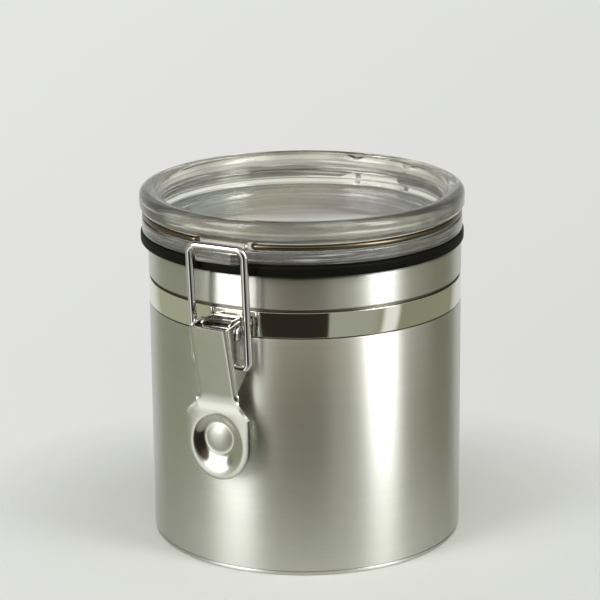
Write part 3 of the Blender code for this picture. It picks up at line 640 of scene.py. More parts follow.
@dataclass(frozen=True)
class PressedSteel(Finish):
    """Pressed sheet: satin all over, and drawn bright in the dish round the boss."""

    colour: Colour = (0.53, 0.535, 0.49)
    satin: float = 0.22
    bright: float = 0.14
    soft_boss: float = 0.55
    dish_height: float = 0.0547
    dish_reach: float = 0.0120
    dish_rate: float = 350.0
    boss_height: float = 0.0561
    boss_reach: float = 0.0058
    boss_rate: float = 900.0
    smear_share: float = 0.08
    grain_height: float = 0.00001

    def shader(self, surface: Surface) -> Wire:
        """The dish and the boss are told apart by the distance from their middles, seen from the front.

        Args:
            surface: What gets the nodes.

        Returns:
            The shader.
        """
        spot = surface.spot()
        x, _, z = surface.split(spot)
        from_dish = (x * x + (z - self.dish_height) ** 2.0) ** 0.5
        from_boss = (x * x + (z - self.boss_height) ** 2.0) ** 0.5
        off_boss = from_boss.above(self.boss_reach, self.boss_rate)
        drawn = from_dish.below(self.dish_reach, self.dish_rate) * off_boss
        gloss = drawn * (self.bright - self.satin) + (1.0 - off_boss) * (self.soft_boss - self.satin)
        smear = surface.noise(spot, 150.0, 3.0)
        grain = surface.noise(spot, 900.0, 3.0, 0.6)
        return surface.principled(
            {
                "Base Color": (*self.colour, 1.0),
                "Metallic": 1.0,
                "Roughness": smear * self.smear_share + (self.satin - self.smear_share / 2) + gloss,
                "Normal": surface.bump(grain, self.grain_height, 0.15),
            }
        )


@dataclass(frozen=True)
class WirePaintedReflection(Finish):
    """Drawn wire whose dark, warm brown tint is a painted reflection of the dark surroundings that it
    mirrors.
    """

    # Painted reflection: the dark brown tint stands in for what the wire mirrors.
    colour: Colour = (0.12, 0.10, 0.065)
    worn: float = 1.25
    roughness: float = 0.20

    def shader(self, surface: Surface) -> Wire:
        """Smears that are lighter and duller.

        Args:
            surface: What gets the nodes.

        Returns:
            The shader.
        """
        smear = surface.noise(surface.spot(), 300.0, 3.0)
        return surface.principled(
            {
                "Base Color": surface.mixed(smear, self.colour, scaled(self.colour, self.worn)),
                "Metallic": 1.0,
                "Roughness": smear * 0.10 + self.roughness,
            }
        )


@dataclass(frozen=True)
class ClearAcrylic(Finish):
    """Clear moulding: olive in its thick rim, with fine level mould lines and a hazy well floor."""

    floor_colour: Colour = (0.90, 0.90, 0.84)
    flange_colour: Colour = (0.93, 0.925, 0.82)
    # Painted shade on the flange's foot.
    foot_painted_shade: Colour = (0.28, 0.28, 0.24)
    # Painted shade along the rim's slanted underside, above the groove.
    lip_painted_shade: Colour = (0.07, 0.065, 0.05)
    # Painted shade: a dark line round the well's wall.
    well_line_painted_shade: Colour = (0.30, 0.28, 0.22)
    wall_colour: Colour = (0.88, 0.87, 0.76)
    # Painted reflection of the bail's bar in the catch's front.
    catch_painted_reflection: Colour = (0.22, 0.17, 0.12)
    # Painted light and shade: the rim's tint goes from this, at the latch, to the lighter far tint at the
    # hinge.
    rim_colour: Colour = (0.63, 0.63, 0.575)
    far_painted_light: Colour = (0.92, 0.91, 0.81)
    streak_colour: Colour = (0.36, 0.36, 0.33)
    shade_colour: Colour = (0.004, 0.004, 0.003)
    # Painted glints on the rim's mould streaks.
    painted_glint_colour: Colour = (0.80, 0.81, 0.84)
    passed_colour: Colour = (0.99, 0.99, 0.985)
    roughness: float = 0.04
    index: float = 1.49
    silk: float = 0.8
    silk_roughness: float = 0.5
    silk_index: float = 1.8
    line_height: float = 0.00008
    line_strength: float = 0.7
    well_radius: float = 0.0552
    groove_top: float = 0.1309
    lip_top: float = 0.1337
    foot_top: float = 0.1266
    ring_low: float = 0.1340
    ring_high: float = 0.1374
    wall_radius: float = 0.0586
    catch_front: float = 0.0634
    catch_top: float = 0.1282
    floor_top: float = 0.1262
    seat_top: float = LID_BOTTOM + 0.0004
    seat_radius: float = 0.0545
    seat_share: float = 0.9
    far_from: float = -1 / 30
    far_rate: float = 12.0
    haze: float = 0.13
    glint: float = 0.36
    crisp: float = 8000.0
    firm: float = 2500.0
    soft: float = 1500.0
    wide: float = 900.0

    def shader(self, surface: Surface) -> Wire:
        """Tinted clear plastic under haze and painted glints, with painted shade where it rests on the seal.
        A shadow ray passes, to light what lies below.

        Args:
            surface: What gets the nodes.

        Returns:
            The shader.
        """
        x, y, z = surface.split(surface.spot())
        back = y - LID_SHIFT
        away = (x * x + back * back) ** 0.5
        lines = surface.drawn_out(x * 30.0, back * 30.0, away * 700.0 + z * 900.0, 3.0, 0.6)
        streaks = surface.drawn_out(x * 35.0, back * 35.0, away * 500.0 + z * 900.0, 2.0)
        cloud = surface.drawn_out(x * 30.0, back * 9.0, 0.0, 2.0)
        thick = away.above(self.well_radius, self.wide)
        high = z.above(self.groove_top, self.soft)
        catch = y.below(-self.catch_front, self.soft) * z.below(self.catch_top, self.firm)
        # Painted shade: the flange's foot, below foot_top, is darkened.
        lower = surface.mixed(z.below(self.foot_top, 1200.0), self.flange_colour, self.foot_painted_shade)
        edge = surface.mixed(high, lower, self.rim_tint(surface, back, z, away, streaks))
        # Painted reflection: the catch's front under the bail's bar is tinted dark brown, like the bar
        # mirrored in it.
        edge = surface.mixed(catch, edge, self.catch_painted_reflection)
        plastic = surface.principled(
            {
                "Base Color": surface.mixed(thick, self.floor_colour, edge),
                "Roughness": lines * thick * 0.10 + self.roughness,
                "IOR": self.index,
                "Transmission Weight": 1.0,
                "Coat Weight": thick * (1.0 - high) * self.silk,
                "Coat Roughness": self.silk_roughness,
                "Coat IOR": self.silk_index,
                "Normal": surface.bump(lines * thick, self.line_height, self.line_strength),
            }
        )
        pale = surface.mixed(thick, self.stress_colours(surface, x, cloud), self.painted_glint_colour)
        milky = surface.principled({"Base Color": pale, "Roughness": 0.5, "Specular IOR Level": 0.2})
        top = (1.0 - thick) * z.above(self.floor_top, self.crisp)
        # Painted glints: a milky white mixed into the mould streaks on the rim's sides.
        glints = streaks.above(0.55, 6.0) * z.below(self.ring_high, 1000.0) * thick * self.glint
        hazy = surface.blended(top * (cloud * self.haze + self.haze / 2) + glints, plastic, milky)
        dark = (*self.shade_colour, 1.0)
        shade = surface.principled({"Base Color": dark, "Roughness": 0.6, "Specular IOR Level": 0.1})
        # Painted shade: a dark, dull surface where the lid's underside rests on the seal.
        painted_seat_shade = z.below(self.seat_top, self.crisp) * away.above(self.seat_radius, 2000.0)
        dressed = surface.blended(painted_seat_shade * self.seat_share, hazy, shade)
        passed = surface.node("ShaderNodeBsdfTransparent", {}, {"Color": (*self.passed_colour, 1.0)})
        return surface.blended(surface.ray("Is Shadow Ray"), dressed, passed)

    def rim_tint(self, surface: Surface, back: Wire, z: Wire, away: Wire, streaks: Wire) -> Wire:
        """The tint above the groove: painted shade at the latch and painted light towards the hinge, with
        streaks, a painted shade line round the well's wall and painted shade on the lip.

        Args:
            surface: What gets the nodes.
            back: Distance towards the hinge from the lid's middle.
            z: Height.
            away: Distance from the lid's middle.
            streaks: Noise that the streaks come from.

        Returns:
            The colour.
        """
        # Painted shade: a dark line on the rim's slanted underside above the groove.
        lip = z.below(self.lip_top, self.firm)
        wall = away.below(self.wall_radius, self.soft) * (1.0 - lip)
        # Painted shade: a dark ring round the well's wall, between ring_low and ring_high.
        ring = z.band(self.ring_low, self.ring_high, self.firm)
        # Painted light and shade: darker at the latch, lighter towards the hinge.
        painted_side_light = surface.mixed(back.above(self.far_from, self.far_rate), self.rim_colour, self.far_painted_light)
        rim = surface.mixed(streaks.above(1 / 3, 3.0), self.streak_colour, painted_side_light)
        rim = surface.mixed(wall, rim, surface.mixed(ring, self.wall_colour, self.well_line_painted_shade))
        return surface.mixed(lip, rim, self.lip_painted_shade)

    def stress_colours(self, surface: Surface, x: Wire, cloud: Wire) -> Wire:
        """Faint colours across the well's floor.

        Args:
            surface: What gets the nodes.
            x: Distance to the right.
            cloud: Noise that bends their bounds.

        Returns:
            The colour.
        """
        stops = [
            (0.0, (0.78, 0.82, 0.72)),
            (0.3, (0.70, 0.82, 0.76)),
            (0.45, (0.88, 0.82, 0.64)),
            (0.6, (0.88, 0.74, 0.70)),
            (0.8, (0.76, 0.77, 0.84)),
            (1.0, (0.78, 0.82, 0.74)),
        ]
        return surface.ramp(x * 9.0 + cloud * 0.5 + 0.4, stops)


@dataclass(frozen=True)
class BlackRubber(Finish):
    """Satin moulded rubber with a faint grain."""

    colour: Colour = (0.0025, 0.003, 0.002)
    bloomed: float = 2.0
    roughness: float = 0.45
    gloss: float = 0.06
    grain_height: float = 0.00003

    def shader(self, surface: Surface) -> Wire:
        """A paler bloom in patches over a fine grain.

        Args:
            surface: What gets the nodes.

        Returns:
            The shader.
        """
        spot = surface.spot()
        grain = surface.noise(spot, 2400.0, 2.0)
        bloom = surface.noise(spot, 90.0, 3.0)
        return surface.principled(
            {
                "Base Color": surface.mixed(bloom, self.colour, scaled(self.colour, self.bloomed)),
                "Roughness": bloom * 0.15 + self.roughness,
                "Specular IOR Level": self.gloss,
                "Normal": surface.bump(grain, self.grain_height, 0.5),
            }
        )


@dataclass(frozen=True)
class PaleTable(Finish):
    """A pale satin top that turns see-through from a distance on."""

    colours: tuple[Colour, Colour] = ((0.62, 0.64, 0.62), (0.64, 0.66, 0.64))
    roughness: float = 0.45
    gloss: float = 0.12
    fade: float = 0.060
    reach: float = 0.16

    def shader(self, surface: Surface) -> Wire:
        """Faintly clouded, and clear towards the rim, so that no edge shows.

        Args:
            surface: What gets the nodes.

        Returns:
            The shader.
        """
        spot = surface.spot()
        cloud = surface.noise(spot, 3.0, 2.0)
        x, y, _ = surface.split(spot)
        away = (x * x + y * y) ** 0.5
        pale = surface.principled(
            {
                "Base Color": surface.mixed(cloud, *self.colours),
                "Roughness": cloud * 0.1 + self.roughness,
                "Specular IOR Level": self.gloss,
            }
        )
        clear = surface.node("ShaderNodeBsdfTransparent", {}, {})
        return surface.blended(away.above(self.fade, 1.0 / (self.reach - self.fade)), pale, clear)


# The tin


def linked(name: str, data: bpy.types.ID) -> Object:
    """Puts a new object in the scene.

    Args:
        name: Its name.
        data: Its mesh or camera.

    Returns:
        The object.
    """
    made = bpy.data.objects.new(name, data)
    bpy.context.scene.collection.objects.link(made)
    return made


def add_piece(mesh: Mesh, material: Material, body: Body, node: str) -> Object:
    """Puts a finished mesh in the scene as a piece of the tin.

    Args:
        mesh: The mesh, its name used for the piece.
        material: Its material.
        body: The body that it rides on.
        node: The CAD node that it stands for.

    Returns:
        The piece's object.
    """
    mesh.materials.append(material)
    piece = linked(mesh.name, mesh)
    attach(piece, body.value)
    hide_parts(node)
    LOG.info("%s: %d faces, rides on %s", mesh.name, len(mesh.polygons), body.value)
    return piece


@dataclass
class CanBody:
    """The brushed can: wall with the strap's groove and mouth bead, and the pressed bottom."""

    sheet: float = 0.0007
    mouth_height: float = 0.1187
    bead_radius: float = 0.0017
    groove_low: float = 0.0945
    groove_high: float = 0.1052
    groove_depth: float = 0.0010
    wall_bottom: float = 0.0019
    segments: int = 256

    def wall_profile(self) -> Array:
        """The wall's section: outer line up to the bead's curl, and back down inside.

        Returns:
            Points of (radius, height).
        """
        outer = CAN_RADIUS
        inner = CAN_RADIUS - self.sheet
        floor = CAN_RADIUS - self.groove_depth
        bead = np.array([outer - self.bead_radius, self.mouth_height - self.bead_radius])
        curl = np.linspace(0.0, 1.5 * math.pi, 25)
        out_curl = bead + self.bead_radius * np.stack([np.cos(curl), np.sin(curl)], -1)
        back = curl[::-1]
        in_curl = bead + (self.bead_radius - self.sheet) * np.stack([np.cos(back), np.sin(back)], -1)
        start = [
            (outer - 0.0002, self.wall_bottom),
            (outer, self.wall_bottom + 0.0003),
            (outer, self.groove_low - 0.0006),
            (outer - 0.0002, self.groove_low - 0.0003),
            (floor, self.groove_low),
            (floor, self.groove_high),
            (outer - 0.0003, self.groove_high + 0.0005),
            (outer, self.groove_high + 0.0009),
        ]
        end = [
            (inner, self.groove_high + 0.0011),
            (floor - self.sheet, self.groove_high + 0.0003),
            (floor - self.sheet, self.groove_low - 0.0003),
            (inner, self.groove_low - 0.0009),
            (inner, self.wall_bottom),
        ]
        return np.vstack([start, out_curl, in_curl, end])

    def base_profile(self) -> Array:
        """The bottom's section: seam edge, standing ring and raised middle.

        Returns:
            Points of (radius, height).
        """
        edge = CAN_RADIUS - GAP / 3
        skirt = CAN_RADIUS - self.sheet - GAP
        ring = edge - 0.0036
        corners = [
            (ring - 0.0012, 0.0020, 0.0006),
            (ring, 0.0, 0.0006),
            (edge, 0.0, 0.0010),
            (edge, 0.0016, 0.0002),
            (skirt, 0.0016, 0.0001),
            (skirt, 0.0044, 0.0002),
            (skirt - self.sheet, 0.0044, 0.0002),
            (skirt - self.sheet, self.sheet, 0.0004),
            (ring + self.sheet / 2, self.sheet, 0.0005),
            (ring + self.sheet / 2 - 0.0012, 0.0027, 0.0005),
        ]
        return rounded_section((0.0, 0.0020), corners, (0.0, 0.0027), 5)

    def build(self, brushed: Material) -> None:
        """Makes the wall and the bottom.

        Args:
            brushed: Their material.
        """
        wall = revolve("can_wall_fine", self.wall_profile(), self.segments)
        add_piece(wall, brushed, Body.CAN, "can_wall")
        base = revolve("can_base_fine", self.base_profile(), self.segments)
        add_piece(base, brushed, Body.CAN, "can_base")


@dataclass
class StrapAndBrackets:
    """The polished band, the latch's bracket with its rivet, and the hinge's bracket."""

    low: float = 0.0948
    high: float = 0.1045
    thickness: float = 0.0007
    edge: float = 0.00018
    ear_face: float = 0.0063
    ear_front: float = 0.0702
    ear_low: float = 0.0941
    ear_high: float = 0.1020
    ear_round: float = 0.0020
    ear_bend: float = 0.0010
    sheet: float = 0.0008
    rivet: Pair = PIVOT_AXIS
    rivet_reach: float = 0.0085
    rivet_radius: float = 0.0015
    rivet_head: float = 0.0030
    rivet_dome: float = 0.0010
    segments: int = 256

    def strap(self) -> Mesh:
        """A closed band. Its thin section has rounded edges.

        Returns:
            The mesh.
        """
        inner = CAN_RADIUS - self.thickness
        around = [(inner, self.low), (CAN_RADIUS, self.low), (CAN_RADIUS, self.high), (inner, self.high)]
        outline = rounded_outline([(*spot, self.edge) for spot in around], 5)
        return revolve("strap_fine", outline, self.segments)

    def bracket(self) -> Mesh:
        """A folded channel: a section of two ears and a web, carried up with the ears' front rounded.

        The channel's section is laid out in plan as a path from one ear's front to the other's. Each of
        its points has a low and a high end, which close in on the middle height as a quarter circle
        over the last stretch of each ear. Solidify gives the sheet its thickness.

        Returns:
            The mesh of the sheet's middle.
        """
        face = self.ear_face - self.sheet / 2
        back = CAN_RADIUS + GAP + self.sheet / 2
        corners = [(-face, -self.ear_front), (-face, -back), (face, -back), (face, -self.ear_front)]
        plan = rounded_path(corners, [self.ear_bend] * 2, 7)
        front = np.linspace(0.0, 1.0, 9)[1:-1, None]
        left = plan[:1] * (1 - front) + plan[1:2] * front
        right = plan[-2:-1] * (1 - front) + plan[-1:] * front
        plan = np.vstack([plan[:1], left, plan[1:-1], right, plan[-1:]])
        radius = self.ear_round
        toward = np.clip((radius - (self.ear_front + plan[:, 1])) / radius, 0.0, 1.0)
        drop = radius * (1 - np.sqrt(1 - toward**2))
        share = np.linspace(0.0, 1.0, 7)[:, None]
        low = self.ear_low + drop
        high = self.ear_high - drop * 0.6
        height = low + share * (high - low)
        across = np.broadcast_to(plan[:, 0], height.shape)
        depth = np.broadcast_to(plan[:, 1], height.shape)
        spots = np.stack([across, depth, height], -1).reshape(-1, 3)
        return build_mesh("latch_bracket_fine", spots, [grid_faces(7, len(plan), False, False)])

    def rivet_mesh(self) -> Mesh:
        """A shank with a domed head at each end, turned about the level axis across the tin.

        Returns:
            The mesh.
        """
        turn = np.linspace(math.pi / 2, 0.0, 8)
        out = self.rivet_head * np.cos(turn)
        dome = np.stack([out, self.rivet_reach + self.rivet_dome * np.sin(turn)], -1)
        neck = np.array([[self.rivet_head - 0.0001, self.rivet_reach], [self.rivet_radius, self.rivet_reach]])
        half = np.vstack([dome, neck])
        mesh = revolve("pivot_rivet_fine", np.vstack([half, half[::-1] * (1, -1)]), 48)
        mesh.transform(Matrix.Rotation(math.pi / 2, 4, "Y"))
        mesh.transform(Matrix.Translation((0.0, -self.rivet[0], self.rivet[1])))
        return mesh

    def build(self, frame: dict, polished: Material, chrome: Material) -> None:
        """Makes the band, the bracket and the rivet, and dresses the hinge bracket's own solid.

        Args:
            frame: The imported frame.
            polished: The band's material.
            chrome: The rivet's material.
        """
        add_piece(self.strap(), polished, Body.CAN, "strap")
        # Painted shade: the latch bracket inside the lever gets a darker copy of the polished steel.
        folded = PolishedSteel((0.46, 0.46, 0.42), 0.10).material("bracket_steel_painted_shade")
        bracket = add_piece(self.bracket(), folded, Body.CAN, "latch_bracket")
        thicken(bracket, self.sheet, 0.0)
        add_piece(self.rivet_mesh(), chrome, Body.CAN, "pivot_rivet")
        for place in frame["nodes"]["hinge_bracket"].material_slots:
            place.material = polished
        LOG.info("hinge_bracket: its own solid, dressed")


def thicken(piece: Object, thickness: float, offset: float) -> None:
    """Gives a sheet its thickness and small rounded edges.

    Args:
        piece: The sheet.
        thickness: Its thickness.
        offset: -1 behind the face, 0 about its middle.
    """
    sheet = piece.modifiers.new("sheet", "SOLIDIFY")
    sheet.thickness = thickness
    sheet.offset = offset
    sheet.use_even_offset = True
    edge = piece.modifiers.new("edge", "BEVEL")
    edge.width = SHEET_EDGE
    edge.segments = 3
    edge.limit_method = "ANGLE"
    edge.angle_limit = math.radians(50)


@dataclass
class LatchLever:
    """The pressed lever: a channel with lobes behind its two pins, opening into a dished paddle."""

    top: Pair = (0.0765, 0.1005)
    waist: Pair = (0.0696, 0.0717)
    paddle_top: Pair = (0.0704, 0.0655)
    paddle_low: Pair = (0.0704, 0.0397)
    bend: float = 0.0120
    sheet: float = 0.0009
    half_width: float = 0.0082
    fold_radius: float = 0.0015
    paddle_half: float = 0.01395
    dish_half_width: float = 0.0112
    dish_half_height: float = 0.0129
    dish_depth: float = 0.0019
    boss_height: float = 0.0561
    boss_radius: float = 0.0056
    boss_rise: float = 0.0017
    rim_roll: float = 0.00035
    flange_end: float = 0.0026
    opening: float = 0.0044
    slant: float = 0.13
    lobe_radii: Pair = (0.0035, 0.0041)
    lobe_shift: float = 0.0009
    side_depths: Corner = (0.0110, 0.0085, 0.0069)

    def __post_init__(self) -> None:
        """Works out the side line, and where the two pins stand on it."""
        line = rounded_path([self.top, self.waist, self.paddle_top, self.paddle_low], [self.bend] * 2, 17)
        steps = np.linalg.norm(np.diff(line, axis=0), axis=1)
        self.line = line
        self.run = np.concatenate([[0.0], np.cumsum(steps)])
        self.length = float(self.run[-1])
        corner = np.array(self.waist) - np.array(self.top)
        self.waist_run = float(np.linalg.norm(corner))
        self.slope = corner / self.waist_run
        self.pivot = self.on_lever(*PIVOT_AXIS)
        self.foot = self.on_lever(*BAIL_AXIS)
        upper, lower = self.lobe_radii
        self.lobes = ((self.pivot, upper), (self.foot + (self.lobe_shift, 0.0), lower))

    def on_lever(self, out: float, height: float) -> Array:
        """How far down the channel's face a point stands, and how far in from it.

        Args:
            out: The point's distance in front of the can's axis.
            height: Its height.

        Returns:
            The two distances.
        """
        offset = np.array((out, height)) - np.array(self.top)
        inward = np.array((self.slope[1], -self.slope[0]))
        return np.array((offset @ self.slope, offset @ inward))

    def place(self, across: Array, along: Array, depth: Array) -> Array:
        """Points of the tin from places on the lever.

        The side line gives a point at the distance along it, and its direction there. The place is that
        point plus the depth along the direction turned a quarter inwards, and above the line's start it
        runs on straight.

        Args:
            across: Distances to the side.
            along: Distances down the face.
            depth: Distances in from the face.

        Returns:
            The same grid of points in space.
        """
        held = np.clip(along, 0.0, self.length)
        out = np.interp(held, self.run, self.line[:, 0])
        height = np.interp(held, self.run, self.line[:, 1])
        way = unit(np.gradient(self.line, axis=0))
        slope_out = np.interp(held, self.run, way[:, 0])
        slope_up = np.interp(held, self.run, way[:, 1])
        out = out + slope_up * depth
        height = height - slope_out * depth
        return np.stack([across, -out, height], -1)

    def flange_depth(self, along: Array) -> Array:
        """How far the sides reach back.

        Behind each pin the edge is a circle about it, and between the two it runs straight. From the
        lower circle it leaves along a tangent, which touches at the angle of the neck seen from the
        circle's centre plus the angle whose cosine is radius / distance, and ends at the neck.

        Args:
            along: Distances down the face.

        Returns:
            The depths.
        """
        upper, (centre, radius) = self.lobes[0], self.lobes[1]
        neck = np.array((self.waist_run - self.flange_end, self.fold_radius + 0.0001))
        gone = neck - centre
        touch = math.atan2(gone[1], gone[0]) + math.acos(radius / float(np.hypot(*gone)))
        leave = centre + radius * np.array((math.cos(touch), math.sin(touch)))
        stations = [0.0, upper[0][0] + upper[1], centre[0] - radius, leave[0], neck[0], self.length]
        depth = np.interp(along, stations, [*self.side_depths, leave[1], neck[1], neck[1]])
        for middle, reach in self.lobes:
            inside = np.clip(reach**2 - (along - middle[0]) ** 2, 0.0, None)
            lobe = np.where(inside > 0, middle[1] + np.sqrt(inside), 0.0)
            depth = np.maximum(depth, lobe)
        return depth

    def channel(self) -> tuple[Array, Array, Array]:
        """Rows of the channel as grids of across, along and depth.

        Going out from the middle of a row, the sheet runs flat, then turns through the fold angle at an
        even rate over the fold's arc, so its heading after a length w of it is fold x w / arc, and then
        runs straight to the flange's edge. The fold is a quarter turn down to the waist and opens to
        flat below it, as half a cosine wave.

        Returns:
            The three grids.
        """
        foot = self.foot[0]
        dense = [np.linspace(c[0] - r, c[0] + r, 25) for c, r in self.lobes]
        fine = np.linspace(self.waist_run - 0.0046, self.waist_run + 0.0018, 27)
        rest = np.array([0.0, 0.0006, 0.5 * (foot + self.pivot[0])])
        along = np.unique(np.round(np.concatenate([*dense, fine, rest]), 7))[:, None]
        opened = np.clip((along - self.waist_run + self.flange_end + 0.0003) / self.opening, 0.0, 1.0)
        fold = np.maximum(math.pi / 2 * (0.5 + 0.5 * np.cos(math.pi * opened)), 1e-4)
        flat = self.half_width - self.fold_radius
        arc = self.fold_radius * math.pi / 2
        side = self.flange_depth(along) - self.fold_radius
        on_flat = np.linspace(0.0, flat, 9)[None, :]
        on_arc = np.linspace(0.0, arc, 9)[None, 1:]
        on_side = np.linspace(0.0, 1.0, 9)[None, 1:]
        arc_x = flat + arc / fold * np.sin(fold * on_arc / arc)
        arc_d = arc / fold * (1 - np.cos(fold * on_arc / arc))
        side_x = arc_x[:, -1:] + side * on_side * np.cos(fold)
        side_d = arc_d[:, -1:] + side * on_side * np.sin(fold)
        right_x = np.hstack([on_flat + 0 * along, arc_x, side_x])
        right_d = np.hstack([0 * on_flat + 0 * along, arc_d, side_d])
        across = np.hstack([-right_x[:, :0:-1], right_x])
        depth = np.hstack([right_d[:, :0:-1], right_d])
        slant = self.slant * np.clip(1 - along / self.pivot[0], 0.0, None)
        return across, along + slant * depth, depth

    def dish_reach(self, way: Array) -> Array:
        """Distance from the boss's centre to the oval dish's rim: the quadratic of a ray and an ellipse.

        Args:
            way: Unit vectors across and along the paddle.

        Returns:
            The distances.
        """
        lower = self.boss_height - self.paddle_low[1] - self.paddle_half
        a, b = self.dish_half_width, self.dish_half_height
        squared = (way[:, 0] / a) ** 2 + (way[:, 1] / b) ** 2
        shift = way[:, 1] * lower / b**2
        rest = 1 - (lower / b) ** 2
        return (shift + np.sqrt(shift**2 + squared * rest)) / squared

    def paddle_edge(self, neck: Array) -> Array:
        """The paddle's edge after the neck row, right shoulder to left: two lines and a half circle.

        Args:
            neck: The neck row's points across and along.

        Returns:
            The edge's points across and along.
        """
        corner, waist = neck[-1]
        low = self.length - self.paddle_half
        shoulder = waist + self.paddle_half - corner
        turns = [(corner, waist), (self.paddle_half, shoulder), (self.paddle_half, low)]
        right = rounded_path(turns, [0.0016], 7)
        share = np.linspace(0.0, 1.0, 6)[1:, None]
        run = right[-2] * (1 - share) + right[-1] * share
        ramp = right[0] * (1 - share[:-1]) + right[1] * share[:-1]
        right = np.vstack([ramp, right[1:-1], run])
        turn = np.linspace(0.0, math.pi, 49)[1:-1]
        under = np.stack([self.paddle_half * np.cos(turn), low + self.paddle_half * np.sin(turn)], -1)
        return np.vstack([right, under, right[::-1] * (-1, 1)])

    def mesh(self) -> Mesh:
        """The outer face as one sheet: the channel's grid, then rings from the edge in to the boss.

        On a ray from the boss's centre, the depth outside the boss is the dish's depth times the squared
        sine of a quarter turn x the share of the way from the rim to the boss. On the boss it is the
        floor less a dome that falls with the distance to the power 2.6.

        Returns:
            The mesh.
        """
        across, along, depth = self.channel()
        rows, columns = across.shape
        neck = np.stack([across[-1], along[-1]], -1)
        edge = np.vstack([neck, self.paddle_edge(neck)])
        centre = np.array((0.0, self.length - (self.boss_height - self.paddle_low[1])))
        way = unit(edge - centre)
        far = np.linalg.norm(edge - centre, axis=1)
        reach = self.dish_reach(way)
        outer = np.linspace(1.0, 0.0, 5)[1:-1, None]
        bowl = np.linspace(1.0, 0.0, 20)[:, None]
        dome = np.linspace(1.0, 0.0, 11)[1:-1, None]
        radius = np.vstack(
            [
                reach + (far - reach) * outer,
                self.boss_radius + (reach - self.boss_radius) * bowl,
                self.boss_radius * dome + 0 * reach,
            ]
        )
        inside = np.clip((reach - radius) / (reach - self.boss_radius), 0.0, 1.0)
        bowl_depth = self.dish_depth * np.sin(math.pi / 2 * inside) ** 2
        dome_depth = self.dish_depth - self.boss_rise * (1 - (radius / self.boss_radius) ** 2.6)
        sunk = np.where(radius < self.boss_radius, dome_depth, bowl_depth)
        crown = np.clip((radius - reach) / np.maximum(far - reach, 1e-6), 0.0, 1.0)
        away = np.clip((edge[:, 1] - edge[0, 1]) / 0.004, 0.0, 1.0)
        sunk = sunk + self.rim_roll * away * crown**2
        spot = centre + way * radius[:, :, None]
        rings = self.place(spot[:, :, 0], spot[:, :, 1], sunk)
        edge_depth = np.concatenate([depth[-1], self.rim_roll * away[columns:]])
        first = self.place(edge[:, 0], edge[:, 1], edge_depth)
        rings = np.vstack([first[None], rings])
        middle = self.place(np.array([0.0]), centre[1:], np.array([self.dish_depth - self.boss_rise]))
        channel = self.place(across, along, depth).reshape(-1, 3)
        spots = np.vstack([channel, rings.reshape(-1, 3), middle])
        count = len(edge)
        start = rows * columns
        last = start + (len(rings) - 1) * count
        faces = [
            grid_faces(rows, columns, False, False),
            grid_faces(len(rings), count, False, True) + start,
            fan_faces(np.arange(count) + last, len(spots) - 1),
        ]
        made = build_mesh("lever_fine", spots, faces, 60.0)
        probe = min(made.polygons, key=lambda face: face.center.y)
        if probe.normal.y > 0:
            made.flip_normals()
        return made

    def build(self, pressed: Material) -> None:
        """Makes the lever.

        Args:
            pressed: Its material.
        """
        piece = add_piece(self.mesh(), pressed, Body.LEVER, "lever")
        thicken(piece, self.sheet, -1.0)


@dataclass
class WireBail:
    """The wire loop from the lever's sides up to the lid's catch."""

    radius: float = 0.0015
    foot: Pair = BAIL_AXIS
    bar: Pair = (0.0685, 0.1298)
    foot_half: float = 0.01141
    bar_half: float = 0.01174
    foot_inside: float = 0.0061
    foot_bend: float = 0.0026
    bar_bend: float = 0.0032

    def build(self, chrome: Material) -> None:
        """Makes the bail: feet turned in, legs up, bar across.

        Args:
            chrome: Its material.
        """
        half = [
            (self.foot_inside, -self.foot[0], self.foot[1]),
            (self.foot_half, -self.foot[0], self.foot[1]),
            (self.bar_half, -self.bar[0], self.bar[1]),
        ]
        mirrored = [(-x, y, z) for x, y, z in half[::-1]]
        bends = [self.foot_bend, self.bar_bend, self.bar_bend, self.foot_bend]
        path = rounded_path(half + mirrored, bends, 13)
        add_piece(tube("bail_fine", path, self.radius, 28), chrome, Body.BAIL, "bail")


